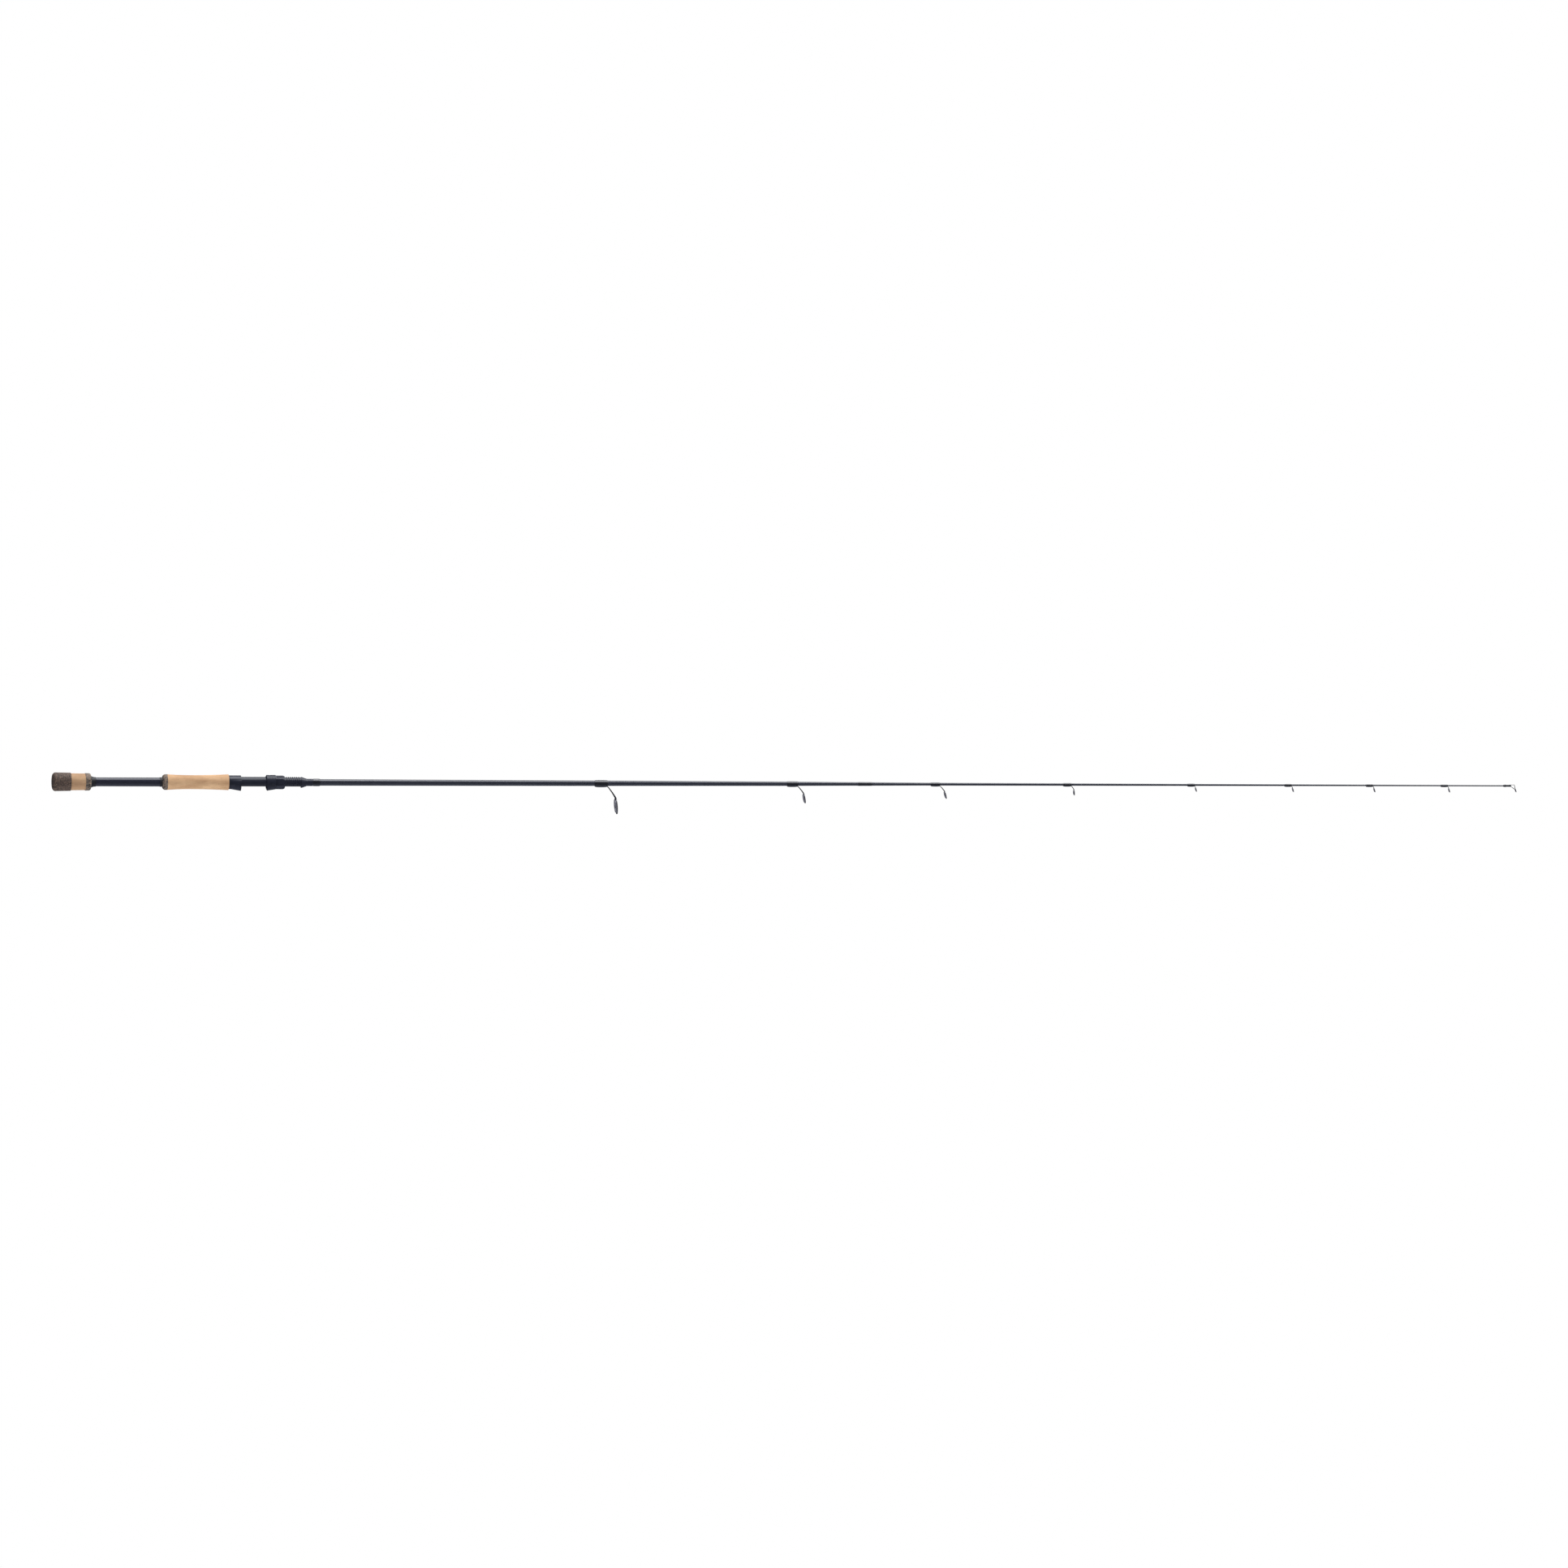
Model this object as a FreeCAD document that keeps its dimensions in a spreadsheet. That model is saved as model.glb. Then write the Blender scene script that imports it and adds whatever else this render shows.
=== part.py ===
"""Two-piece spinning rod with split cork grip, screw-locking reel seat and eight single-foot guides.

The rod lies along +X with its butt face at X = 0 and its guides hanging to -Z, as it is held with a
reel below. Millimetres throughout. Every driving size is a cell of the sheet "Sizes", and every piece
is bound to those cells.
"""
import FreeCAD, Part
import math
import os
import Sketcher

FULL_TURN = 360.0

# Driving sizes: alias, value in millimetres or degrees, what it is.
SIZES = [
    ("butt_cap_length", 26.6, "rubberised cork cap at the butt"),
    ("butt_cap_rear_d", 27.3, "cap diameter at the butt face"),
    ("butt_cap_front_d", 26.3, "cap diameter at the cork"),
    ("butt_cap_rounding", 5.0, "rounding of the cap's rear edge"),
    ("butt_cap_floor", 6.0, "solid cork behind the blank's end"),
    ("butt_cork_length", 21.3, "both cork rings of the butt grip"),
    ("butt_cork_rear_d", 24.6, "butt cork diameter at the cap"),
    ("butt_cork_front_d", 24.0, "butt cork diameter at the burl ring"),
    ("butt_burl_length", 8.3, "burl cork ring of the butt grip"),
    ("butt_burl_d", 25.2, "its diameter"),
    ("butt_burl_rounding", 3.4, "rounding of its front edge"),
    ("butt_check_length", 7.1, "flared check in front of the butt grip"),
    ("butt_check_rear_d", 17.6, "its diameter at the burl ring"),
    ("butt_check_front_d", 13.9, "its diameter at the tube"),
    ("handle_tube_length", 104.2, "tube between the two grips"),
    ("handle_tube_d", 12.9, "its outside diameter"),
    ("handle_check_length", 3.6, "check ring at the main grip"),
    ("handle_check_d", 13.8, "its diameter"),
    ("grip_burl_length", 7.1, "burl cork ring at the rear of the main grip"),
    ("grip_burl_rounding", 4.4, "rounding of its rear edge"),
    ("grip_length", 89.3, "all the cork rings of the main grip"),
    ("grip_rear_d", 22.6, "grip diameter at the burl ring"),
    ("grip_waist_d", 20.1, "grip diameter at its waist"),
    ("grip_waist_at", 34.3, "waist, from the burl ring"),
    ("grip_front_d", 22.9, "grip diameter at the seat"),
    ("glue_gap", 0.05, "radial film of glue between glued pieces"),
    ("barrel_d", 15.6, "reel seat barrel diameter"),
    ("barrel_bore_d", 10.6, "reel seat bore"),
    ("barrel_length", 54.7, "from the grip to the first thread"),
    ("foot_flat_drop", 6.0, "flat for the reel's foot, below the axis"),
    ("thread_length", 51.2, "threaded stretch"),
    ("thread_crest_d", 15.7, "thread crest diameter"),
    ("thread_root_d", 14.2, "thread root diameter"),
    ("thread_pitch", 3.0, "advance of one turn"),
    ("thread_root_width", 1.5, "width of the ridge at its root"),
    ("thread_crest_width", 0.7, "width of the ridge at its crest"),
    ("nose_collar", 1.0, "short collar in front of the thread"),
    ("nose_length", 7.6, "cone in front of the collar"),
    ("tail_length", 8.2, "straight tail in front of the cone"),
    ("tail_d", 10.5, "tail diameter"),
    ("arbor_length", 24.0, "each arbor between the seat and the blank"),
    ("arbor_inset", 4.0, "rear arbor, from the seat's rear end"),
    ("hood_clearance", 0.3, "radial clearance of the movable hood"),
    ("hood_wall", 0.9, "hood wall at the mouth of the pocket"),
    ("hood_collar_d", 19.8, "fixed hood diameter over its collar"),
    ("hood_rear_d", 18.6, "fixed hood's bulge at its rear"),
    ("hood_depth", 12.5, "hood mouth's lowest point, below the axis"),
    ("hood_bulge_d", 19.4, "hood bulge diameter at the mouth"),
    ("pocket_depth", 12.0, "depth of each hood's pocket for the reel's foot"),
    ("pocket_blind_d", 16.6, "pocket diameter at its blind end"),
    ("pocket_blind_drop", 1.2, "its centre there, below the axis"),
    ("fixed_hood_length", 18.0, "fixed hood"),
    ("movable_hood_at", 53.9, "movable hood's mouth, from the seat's rear end"),
    ("movable_hood_length", 14.7, "movable hood"),
    ("movable_hood_d", 20.6, "movable hood's collar diameter"),
    ("movable_hood_rise", 0.35, "that collar's centre, above the axis"),
    ("movable_hood_front_d", 20.2, "movable hood's bulge at the lock nut"),
    ("mouth_bevel", 3.0, "how far the mouth slants forward to its rim"),
    ("hood_groove_d", 0.7, "grooves across the movable hood's top"),
    ("hood_groove_pitch", 2.2, "distance between those grooves"),
    ("nut_gap", 0.15, "gap between the movable hood and the lock nut"),
    ("nut_length", 13.1, "lock nut"),
    ("nut_corners_d", 20.2, "lock nut across its corners"),
    ("nut_round_d", 19.8, "diameter that its corners are turned to"),
    ("nut_front_d", 17.6, "diameter of its front face"),
    ("nut_chamfer", 2.4, "length of its front chamfer"),
    ("nut_recess_length", 8.0, "finger recess in two facets"),
    ("nut_recess_width", 3.4, "width of that recess"),
    ("nut_recess_depth", 0.5, "depth of that recess"),
    ("nut_recess_inset", 1.4, "recess, from the nut's rear face"),
    ("thread_clearance", 0.25, "clearance of the nut's thread, all round"),
    ("trim_wrap_at", 0.6, "trim wrap, from the seat's front end"),
    ("trim_wrap_length", 10.2, "trim wrap"),
    ("trim_wrap_build", 0.65, "thread and epoxy over the blank there"),
    ("blank_wall", 1.1, "wall of the butt blank at the handle"),
    ("blank_butt_d", 10.4, "blank diameter at its butt end"),
    ("blank_seat_d", 9.5, "blank diameter in front of the seat"),
    ("blank_mid_at", 752.0, "mid station, from the butt face"),
    ("blank_mid_d", 8.2, "blank diameter there"),
    ("blank_low_at", 1060.0, "station below the ferrule"),
    ("blank_low_d", 6.4, "blank diameter there"),
    ("ferrule_at", 1173.0, "mouth of the tip section, from the butt face"),
    ("ferrule_shoulder_d", 5.15, "butt blank diameter at the ferrule"),
    ("ferrule_gap", 1.0, "bare gap between shoulder and mouth"),
    ("ferrule_overlap", 80.0, "length of the butt blank inside the tip section"),
    ("male_root_d", 4.6, "male ferrule diameter at the mouth"),
    ("male_end_d", 3.5, "male ferrule diameter at its end"),
    ("male_bore_d", 1.9, "bore of the male ferrule end"),
    ("ferrule_clearance", 0.06, "radial running clearance of the ferrule"),
    ("ferrule_end_room", 3.0, "room past the male ferrule's end"),
    ("sleeve_d", 5.3, "tip section diameter at its mouth"),
    ("sleeve_front_at", 52.0, "station on the ferrule sleeve, from the mouth"),
    ("sleeve_front_d", 4.65, "tip section diameter there"),
    ("tip_first_at", 100.0, "station in front of the ferrule, from the mouth"),
    ("tip_first_d", 4.15, "tip blank diameter there"),
    ("tip_second_at", 502.0, "next station, from the mouth"),
    ("tip_second_d", 2.85, "tip blank diameter there"),
    ("tip_end_d", 1.8, "tip blank diameter at its end"),
    ("tip_end_bore_d", 0.8, "tip blank bore at its end"),
    ("tip_wall", 0.42, "tip blank wall in front of the ferrule"),
    ("ferrule_wrap_at", 2.5, "ferrule wrap, from the mouth"),
    ("ferrule_wrap_length", 20.0, "ferrule wrap"),
    ("ferrule_wrap_build", 0.22, "thread and epoxy over the sleeve"),
    ("rod_length", 2134.0, "butt face to the centre of the tip-top ring"),
    ("tip_tube_at", 16.0, "rear of the tip-top tube, behind its ring"),
    ("tip_tube_length", 9.5, "tip-top tube"),
    ("tip_tube_d", 2.9, "its outside diameter"),
    ("tip_tube_floor", 0.8, "closed front end of the tube"),
    ("tip_ring_drop", 6.7, "tip-top ring, below the axis"),
    ("tip_ring_tilt", 17.0, "lean of the tip-top ring"),
    ("tip_hoop_d", 5.8, "tip-top hoop"),
    ("tip_insert_d", 4.6, "tip-top ceramic ring"),
    ("tip_insert_bore_d", 3.0, "tip-top bore"),
    ("tip_strip", 0.6, "thickness of the tip-top's strips"),
    ("tip_strip_width", 1.5, "width of those strips"),
    ("tip_wrap_at", 2.4, "tip-top wrap, from behind the tube's rear"),
    ("tip_wrap_length", 4.6, "tip-top wrap"),
    ("tip_wrap_d", 3.8, "its largest diameter"),
    ("past_face", 1.0, "how far a cutting shape runs past the face it cuts"),
    ("insert_land", 0.45, "half of the straight land in each ring's bore"),
    ("foot_gap", 0.03, "epoxy between a guide's foot and its neighbours"),
]

# Guides: alias stem, then hoop and ring diameters, bore, drop of the ring centre, lean, ring centre in
# front of the wrap's rear end, wrap length, strip thickness, foot width, ring thickness, and the wrap's
# build below and above the blank.
GUIDE_KINDS = [
    ("stripper", 24.5, 20.2, 15.6, 32.5, 5.0, 31.0, 19.0, 1.1, 3.6, 3.0, 1.9, 0.7),
    ("second", 15.1, 12.3, 9.2, 20.9, 10.0, 25.0, 16.0, 1.0, 3.0, 2.4, 1.6, 0.5),
    ("third", 11.8, 9.5, 7.0, 15.5, 15.0, 21.2, 13.6, 0.9, 2.4, 2.0, 1.4, 0.45),
    ("fourth", 8.5, 6.9, 5.0, 11.5, 5.0, 16.0, 12.4, 0.8, 2.0, 1.8, 1.3, 0.45),
    ("runner", 6.8, 5.5, 3.8, 6.75, 17.0, 12.4, 10.6, 0.7, 1.8, 1.6, 1.2, 0.45),
]
GUIDE_SIZES = [
    "hoop_d",
    "insert_d",
    "bore_d",
    "drop",
    "tilt",
    "reach",
    "wrap_length",
    "strip",
    "foot_width",
    "insert_thickness",
    "wrap_below",
    "wrap_above",
]

# Each guide: number, its kind and the rear end of its wrap from the butt face.
GUIDES = [
    (1, "stripper", 791.0),
    (2, "second", 1071.5),
    (3, "third", 1281.0),
    (4, "fourth", 1474.0),
    (5, "runner", 1655.4),
    (6, "runner", 1796.8),
    (7, "runner", 1915.6),
    (8, "runner", 2024.6),
]

# Proportions: kinds of guide whose leg is split by a window, the window's ends along the leg, the foot's
# start and the sloping ends along a wrap, and the shape of a ceramic ring's lips.
WINDOWED = ("stripper", "second", "third")
WINDOW_START = 0.3
WINDOW_END = 0.9
FOOT_INSET = 0.1
WRAP_END = 0.16
WRAP_FEATHER = 0.98
LIP_FLARE = 0.45
LIP_SLOPE = 0.3

# Cork rings in each grip, grooves on the movable hood, the arc each groove spans and its place in the pitch.
GRIP_RINGS = 7
BUTT_RINGS = 2
HOOD_GROOVES = 5
GROOVE_SWEEP = 120
GROOVE_INSET = 0.6

# Nut: its sides and the turn from a corner to the middle of a facet, in degrees.
NUT_SIDES = 6
NUT_FACET_TURN = 30

# Butt check: where its waist lies along it, and how much of the flare is left there.
CHECK_WAIST_AT = 0.4
CHECK_WAIST_FLARE = 0.35

# How deep the thread's ridge is rooted in the barrel, as a part of its height.
THREAD_SINK = 0.4

# Plain wraps: the sloping part of the length at each end, and the build left at the very edge.
WRAP_SHOULDER = 0.12
WRAP_EDGE_BUILD = 0.25

# Tip-top: slopes of its bead of epoxy and the bead's edge in glue gaps, how far the strip sinks into the
# tube, where the struts leave the tube and reach the hoop, and the ring's thickness in strips.
TIP_BEAD_SHOULDER = 0.25
TIP_BEAD_EDGE_GAPS = 3
STRIP_SINK = 0.7
STRUT_SPREAD = 0.6
STRUT_END_SPREAD = 0.87
TIP_RING_THICKNESS = 2.5

doc = FreeCAD.newDocument("SpinningRod")
nodes = []


# Sizes --------------------------------------------------------------------------------------------


class Size:
    """A length or angle that remembers its sheet expression, so arithmetic on it stays bound."""

    def __init__(self, value, text):
        self.value = value
        self.text = text

    @staticmethod
    def of(other):
        return other if isinstance(other, Size) else Size(float(other), repr(float(other)))

    def joined(self, other, value, sign):
        return Size(value, "(%s %s %s)" % (self.text, sign, Size.of(other).text))

    def __add__(self, other):
        return self.joined(other, self.value + Size.of(other).value, "+")

    def __sub__(self, other):
        return self.joined(other, self.value - Size.of(other).value, "-")

    def __mul__(self, other):
        return self.joined(other, self.value * Size.of(other).value, "*")

    def __truediv__(self, other):
        return self.joined(other, self.value / Size.of(other).value, "/")

    def __rsub__(self, other):
        return Size.of(other) - self

    def __neg__(self):
        return Size.of(0) - self

    __radd__ = __add__
    __rmul__ = __mul__


def sine(angle):
    return Size(math.sin(math.radians(angle.value)), "sin(%s)" % angle.text)


def cosine(angle):
    return Size(math.cos(math.radians(angle.value)), "cos(%s)" % angle.text)


def distance(run, rise):
    return Size(math.hypot(run.value, rise.value), "sqrt(%s ^ 2 + %s ^ 2)" % (run.text, rise.text))


def fall_angle(run, drop):
    """Angle below +X of a line that goes run along X and drop towards -Z."""
    angle = math.degrees(math.atan2(drop.value, run.value))
    return Size(angle, "(atan(%s / %s) / 1 deg)" % (drop.text, run.text))


def size_rows():
    """All rows of the sheet: the plain sizes, the sizes of each kind of guide, then the guides' places."""
    rows = list(SIZES)
    for kind in GUIDE_KINDS:
        for name, value in zip(GUIDE_SIZES, kind[1:]):
            rows.append(("%s_%s" % (kind[0], name), value, "%s guide" % kind[0]))
    for number, kind, place in GUIDES:
        rows.append(("guide_%d_at" % number, place, "rear end of the wrap of guide %d" % number))
    return rows


def fill_sheet():
    """Writes the sheet and returns a lookup from alias to Size."""
    sheet = doc.addObject("Spreadsheet::Sheet", "Sizes")
    lookup = {}
    for row, (alias, value, note) in enumerate(size_rows(), start=1):
        sheet.set("A%d" % row, alias)
        sheet.set("B%d" % row, str(value))
        sheet.set("C%d" % row, note)
        sheet.setAlias("B%d" % row, alias)
        lookup[alias] = Size(float(value), "Sizes.%s" % alias)
    doc.recompute()
    return lookup


size = fill_sheet()


# Building blocks ----------------------------------------------------------------------------------


def bind(obj, prop, amount):
    """Binds one property to a size."""
    obj.setExpression(prop, Size.of(amount).text)


def place(obj, x, y, z, turns=()):
    """Binds the object's whole placement: a position, and turns about axes with the last one done first."""
    where = "vector(%s; %s; %s)" % tuple(Size.of(v).text for v in (x, y, z))
    turned = ["rotation(vector(%d; %d; %d); %s)" % (*axis, Size.of(angle).text) for axis, angle in turns]
    turning = " * ".join(turned or ["rotation(vector(0; 0; 1); 0)"])
    obj.setExpression("Placement", "placement(%s; %s)" % (where, turning))


ABOUT_X = (1, 0, 0)
ABOUT_Y = (0, 1, 0)
ABOUT_Z = (0, 0, 1)
ALONG_X = (ABOUT_Y, 90)


def part(kind, name, **sizes):
    """A Part object whose named properties are bound to sizes."""
    obj = doc.addObject("Part::" + kind, name)
    for prop, amount in sizes.items():
        bind(obj, prop, amount)
    return obj


def joined(name, tools):
    fuse = doc.addObject("Part::MultiFuse", name)
    fuse.Shapes = tools
    fuse.Refine = True
    return fuse


def cut(name, base, tool):
    result = doc.addObject("Part::Cut", name)
    result.Base = base
    result.Tool = tool
    return result


def common(name, first, second):
    result = doc.addObject("Part::Common", name)
    result.Base = first
    result.Tool = second
    return result


def rod_along_x(name, start, length, radius):
    """A cylinder on the rod's axis."""
    cylinder = part("Cylinder", name, Radius=radius, Height=length)
    place(cylinder, start, 0, 0, [ALONG_X])
    return cylinder


def skewed_cone(name, rear, rear_drop, rear_radius, front, front_drop, front_radius):
    """A loft between two circles across the rod, each with its own drop below the axis."""
    circles = []
    ends = [("Rear", rear, rear_drop, rear_radius), ("Front", front, front_drop, front_radius)]
    for end, x, drop, radius in ends:
        circle = part("Circle", name + end, Radius=radius)
        place(circle, x, 0, -Size.of(drop), [ALONG_X])
        circles.append(circle)
    loft = doc.addObject("Part::Loft", name)
    loft.Sections = circles
    loft.Solid = True
    loft.Ruled = True
    return loft


def node(label, obj):
    """Names a finished piece: the label is also its file's name."""
    obj.Label = label
    nodes.append(obj)
    return obj


def origin_plane(body, role):
    return [o for o in body.Origin.OriginFeatures if o.Role == role][0]


def outline(body, name, corners, drop=None):
    """A closed outline in the body's XZ plane whose corners (along X, radius) are bound to sizes."""
    sketch = body.newObject("Sketcher::SketchObject", name)
    sketch.AttachmentSupport = [(origin_plane(body, "XZ_Plane"), "")]
    sketch.MapMode = "FlatFace"
    if drop is not None:
        bind(sketch, ".AttachmentOffset.Base.y", -drop)
    corners = [(Size.of(x), Size.of(r)) for x, r in corners]
    count = len(corners)
    for i in range(count):
        here, there = corners[i], corners[(i + 1) % count]
        start = FreeCAD.Vector(here[0].value, here[1].value, 0)
        end = FreeCAD.Vector(there[0].value, there[1].value, 0)
        sketch.addGeometry(Part.LineSegment(start, end))
    for i in range(count):
        sketch.addConstraint(Sketcher.Constraint("Coincident", i, 2, (i + 1) % count, 1))
    for i, corner in enumerate(corners):
        for kind, axis, amount in (("DistanceX", -2, corner[0]), ("DistanceY", -1, corner[1])):
            if amount.text == "0.0":
                sketch.addConstraint(Sketcher.Constraint("PointOnObject", i, 1, axis))
                continue
            index = sketch.addConstraint(Sketcher.Constraint(kind, -1, 1, i, 1, amount.value))
            sketch.setExpression("Constraints[%d]" % index, amount.text)
    return sketch


def turned(label, corners, drop=None):
    """A body turned about the rod's axis, or about a parallel one below it."""
    body = doc.addObject("PartDesign::Body", "Body_" + label)
    sketch = outline(body, "Outline_" + label, corners, drop)
    revolution = body.newObject("PartDesign::Revolution", "Turned_" + label)
    revolution.Profile = sketch
    revolution.ReferenceAxis = (sketch, ["H_Axis"])
    revolution.Angle = FULL_TURN
    return body


def bored(body, label, corners):
    """Cuts a turned hollow out of a body, about the rod's axis."""
    sketch = outline(body, "Hollow_" + label, corners)
    groove = body.newObject("PartDesign::Groove", "Bored_" + label)
    groove.Profile = sketch
    groove.ReferenceAxis = (sketch, ["H_Axis"])
    groove.Angle = FULL_TURN
    return groove


def round_edge(body, label, x, radius, rounding):
    """Rounds the outer circular edge of a turned body that lies at x with that radius."""
    doc.recompute()
    feature = body.Tip
    names = []
    for index, edge in enumerate(feature.Shape.Edges, start=1):
        curve = edge.Curve
        if not isinstance(curve, Part.Circle):
            continue
        if abs(curve.Center.x - x.value) < 1e-4 and abs(curve.Radius - radius.value) < 1e-4:
            names.append("Edge%d" % index)
    if not names:
        raise ValueError("no edge to round on %s" % label)
    fillet = body.newObject("PartDesign::Fillet", "Rounded_" + label)
    fillet.Base = (feature, names)
    bind(fillet, "Radius", rounding)
    return fillet


# Stations along the rod ---------------------------------------------------------------------------

cap_front = size["butt_cap_length"]
cork_front = cap_front + size["butt_cork_length"]
tube_rear = cork_front + size["butt_burl_length"]
grip_rear = tube_rear + size["handle_tube_length"]
cork_rear = grip_rear + size["grip_burl_length"]
seat_rear = cork_rear + size["grip_length"]
thread_rear = seat_rear + size["barrel_length"]
thread_front = thread_rear + size["thread_length"]
thread_start = thread_rear + size["thread_pitch"] / 2
nose_rear = thread_front + size["nose_collar"]
tail_rear = nose_rear + size["nose_length"]
seat_front = tail_rear + size["tail_length"]
mouth = size["ferrule_at"]
shoulder = mouth - size["ferrule_gap"]
male_end = mouth + size["ferrule_overlap"]
tip_tube_rear = size["rod_length"] - size["tip_tube_at"]
tip_blank_end = tip_tube_rear + size["tip_tube_length"] - size["tip_tube_floor"]
hood_mouth = seat_rear + size["movable_hood_at"]
hood_front = hood_mouth + size["movable_hood_length"]
nut_rear = hood_front + size["nut_gap"]

BUTT_STATIONS = [
    (size["butt_cap_floor"], size["blank_butt_d"] / 2),
    (seat_front, size["blank_seat_d"] / 2),
    (size["blank_mid_at"], size["blank_mid_d"] / 2),
    (size["blank_low_at"], size["blank_low_d"] / 2),
    (shoulder, size["ferrule_shoulder_d"] / 2),
]
TIP_STATIONS = [
    (mouth, size["sleeve_d"] / 2),
    (mouth + size["sleeve_front_at"], size["sleeve_front_d"] / 2),
    (mouth + size["tip_first_at"], size["tip_first_d"] / 2),
    (mouth + size["tip_second_at"], size["tip_second_d"] / 2),
    (tip_blank_end, size["tip_end_d"] / 2),
]


def blank_radius(x):
    """Outside radius of the blank at a place along the rod, from the taper between its stations."""
    stations = TIP_STATIONS if x.value > mouth.value else BUTT_STATIONS
    for (rear, rear_radius), (front, front_radius) in zip(stations, stations[1:]):
        if x.value <= front.value + 1e-6:
            break
    return rear_radius + (x - rear) * (front_radius - rear_radius) / (front - rear)


def on_blank(rear, front, extra=None):
    """Two corners that follow the blank's surface from front back to rear, a glue film clear of it."""
    gap = size["glue_gap"] if extra is None else extra
    return [(front, blank_radius(front) + gap), (rear, blank_radius(rear) + gap)]


# Grips --------------------------------------------------------------------------------------------


def butt_cap():
    """Rubberised cork cap with a blind hole for the blank."""
    rear_radius = size["butt_cap_rear_d"] / 2
    floor = size["butt_cap_floor"]
    corners = [(0, 0), (0, rear_radius), (cap_front, size["butt_cap_front_d"] / 2)]
    corners += on_blank(floor, cap_front)
    corners.append((floor, 0))
    body = turned("butt_cap", corners)
    round_edge(body, "butt_cap", Size.of(0), rear_radius, size["butt_cap_rounding"])
    node("butt_cap", body)


def butt_cork_rings():
    """Cork rings of the butt grip, glued face to face."""
    length = size["butt_cork_length"] / BUTT_RINGS
    slope = (size["butt_cork_front_d"] - size["butt_cork_rear_d"]) / 2 / size["butt_cork_length"]
    for index in range(BUTT_RINGS):
        rear = cap_front + length * index
        front = cap_front + length * (index + 1)
        outer = [(x, size["butt_cork_rear_d"] / 2 + (x - cap_front) * slope) for x in (rear, front)]
        label = "butt_cork_ring_%d" % (index + 1)
        node(label, turned(label, outer + on_blank(rear, front)))


def butt_burl_ring():
    """Burl cork ring that closes the butt grip, its front edge sanded round."""
    radius = size["butt_burl_d"] / 2
    outer = [(cork_front, radius), (tube_rear, radius)]
    body = turned("butt_burl_ring", outer + on_blank(cork_front, tube_rear))
    round_edge(body, "butt_burl_ring", tube_rear, radius, size["butt_burl_rounding"])
    node("butt_burl_ring", body)


def handle_tube():
    """Sleeve on the blank between the grips."""
    radius = size["handle_tube_d"] / 2
    outer = [(tube_rear, radius), (grip_rear, radius)]
    node("handle_tube", turned("handle_tube", outer + on_blank(tube_rear, grip_rear)))


def butt_check():
    """Moulded check that flares from the tube out to the burl ring."""
    front = tube_rear + size["butt_check_length"]
    rear_radius = size["butt_check_rear_d"] / 2
    front_radius = size["butt_check_front_d"] / 2
    bore = size["handle_tube_d"] / 2 + size["glue_gap"]
    waist = tube_rear + size["butt_check_length"] * CHECK_WAIST_AT
    waist_radius = front_radius + (rear_radius - front_radius) * CHECK_WAIST_FLARE
    outer = [(tube_rear, rear_radius), (waist, waist_radius), (front, front_radius)]
    node("butt_check", turned("butt_check", outer + [(front, bore), (tube_rear, bore)]))


def handle_check():
    """Narrow ring on the tube against the main grip."""
    rear = grip_rear - size["handle_check_length"]
    radius = size["handle_check_d"] / 2
    bore = size["handle_tube_d"] / 2 + size["glue_gap"]
    corners = [(rear, radius), (grip_rear, radius), (grip_rear, bore), (rear, bore)]
    node("handle_check", turned("handle_check", corners))


def grip_burl_ring():
    """Burl cork ring at the rear of the main grip, its rear edge sanded round."""
    radius = size["grip_rear_d"] / 2
    outer = [(grip_rear, radius), (cork_rear, radius)]
    body = turned("grip_burl_ring", outer + on_blank(grip_rear, cork_rear))
    round_edge(body, "grip_burl_ring", grip_rear, radius, size["grip_burl_rounding"])
    node("grip_burl_ring", body)


def grip_radius(x):
    """Outside radius of the main grip: two parabolas that meet at its waist."""
    waist = cork_rear + size["grip_waist_at"]
    waist_radius = size["grip_waist_d"] / 2
    end, end_d = (cork_rear, "grip_rear_d") if x.value < waist.value else (seat_rear, "grip_front_d")
    part_way = (x - waist) / (end - waist)
    return waist_radius + (size[end_d] / 2 - waist_radius) * part_way * part_way


def grip_cork_rings():
    """Cork rings of the main grip, glued face to face and turned to one waisted profile."""
    length = size["grip_length"] / GRIP_RINGS
    for index in range(GRIP_RINGS):
        rear = cork_rear + length * index
        front = cork_rear + length * (index + 1)
        outer = [(x, grip_radius(x)) for x in (rear, rear + length / 2, front)]
        label = "grip_cork_ring_%d" % (index + 1)
        node(label, turned(label, outer + on_blank(rear, front)))


# Reel seat ----------------------------------------------------------------------------------------


def helical_ridge(name, start, turns_length, root, crest, root_width, crest_width):
    """The screw thread's ridge. No primitive winds a section along a helix, so its shape is made here."""
    pitch = size["thread_pitch"].value
    path = Part.makeHelix(pitch, turns_length.value, root.value)
    sink = (crest.value - root.value) * THREAD_SINK
    slope = (root_width.value - crest_width.value) / (crest.value - root.value)
    foot = root_width.value / 2 + slope * sink / 2
    tip = crest_width.value / 2
    corners = [(root.value - sink, -foot), (crest.value, -tip), (crest.value, tip), (root.value - sink, foot)]
    points = [FreeCAD.Vector(r, 0, z) for r, z in corners]
    section = Part.makePolygon(points + points[:1])
    shell = Part.Wire(path).makePipeShell([section], True, True)
    ridge = doc.addObject("Part::Feature", name)
    ridge.Shape = Part.Solid(shell) if shell.ShapeType == "Shell" else shell
    ridge.Placement = FreeCAD.Placement(
        FreeCAD.Vector(start.value, 0, 0), FreeCAD.Rotation(FreeCAD.Vector(0, 1, 0), 90)
    )
    return ridge


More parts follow.
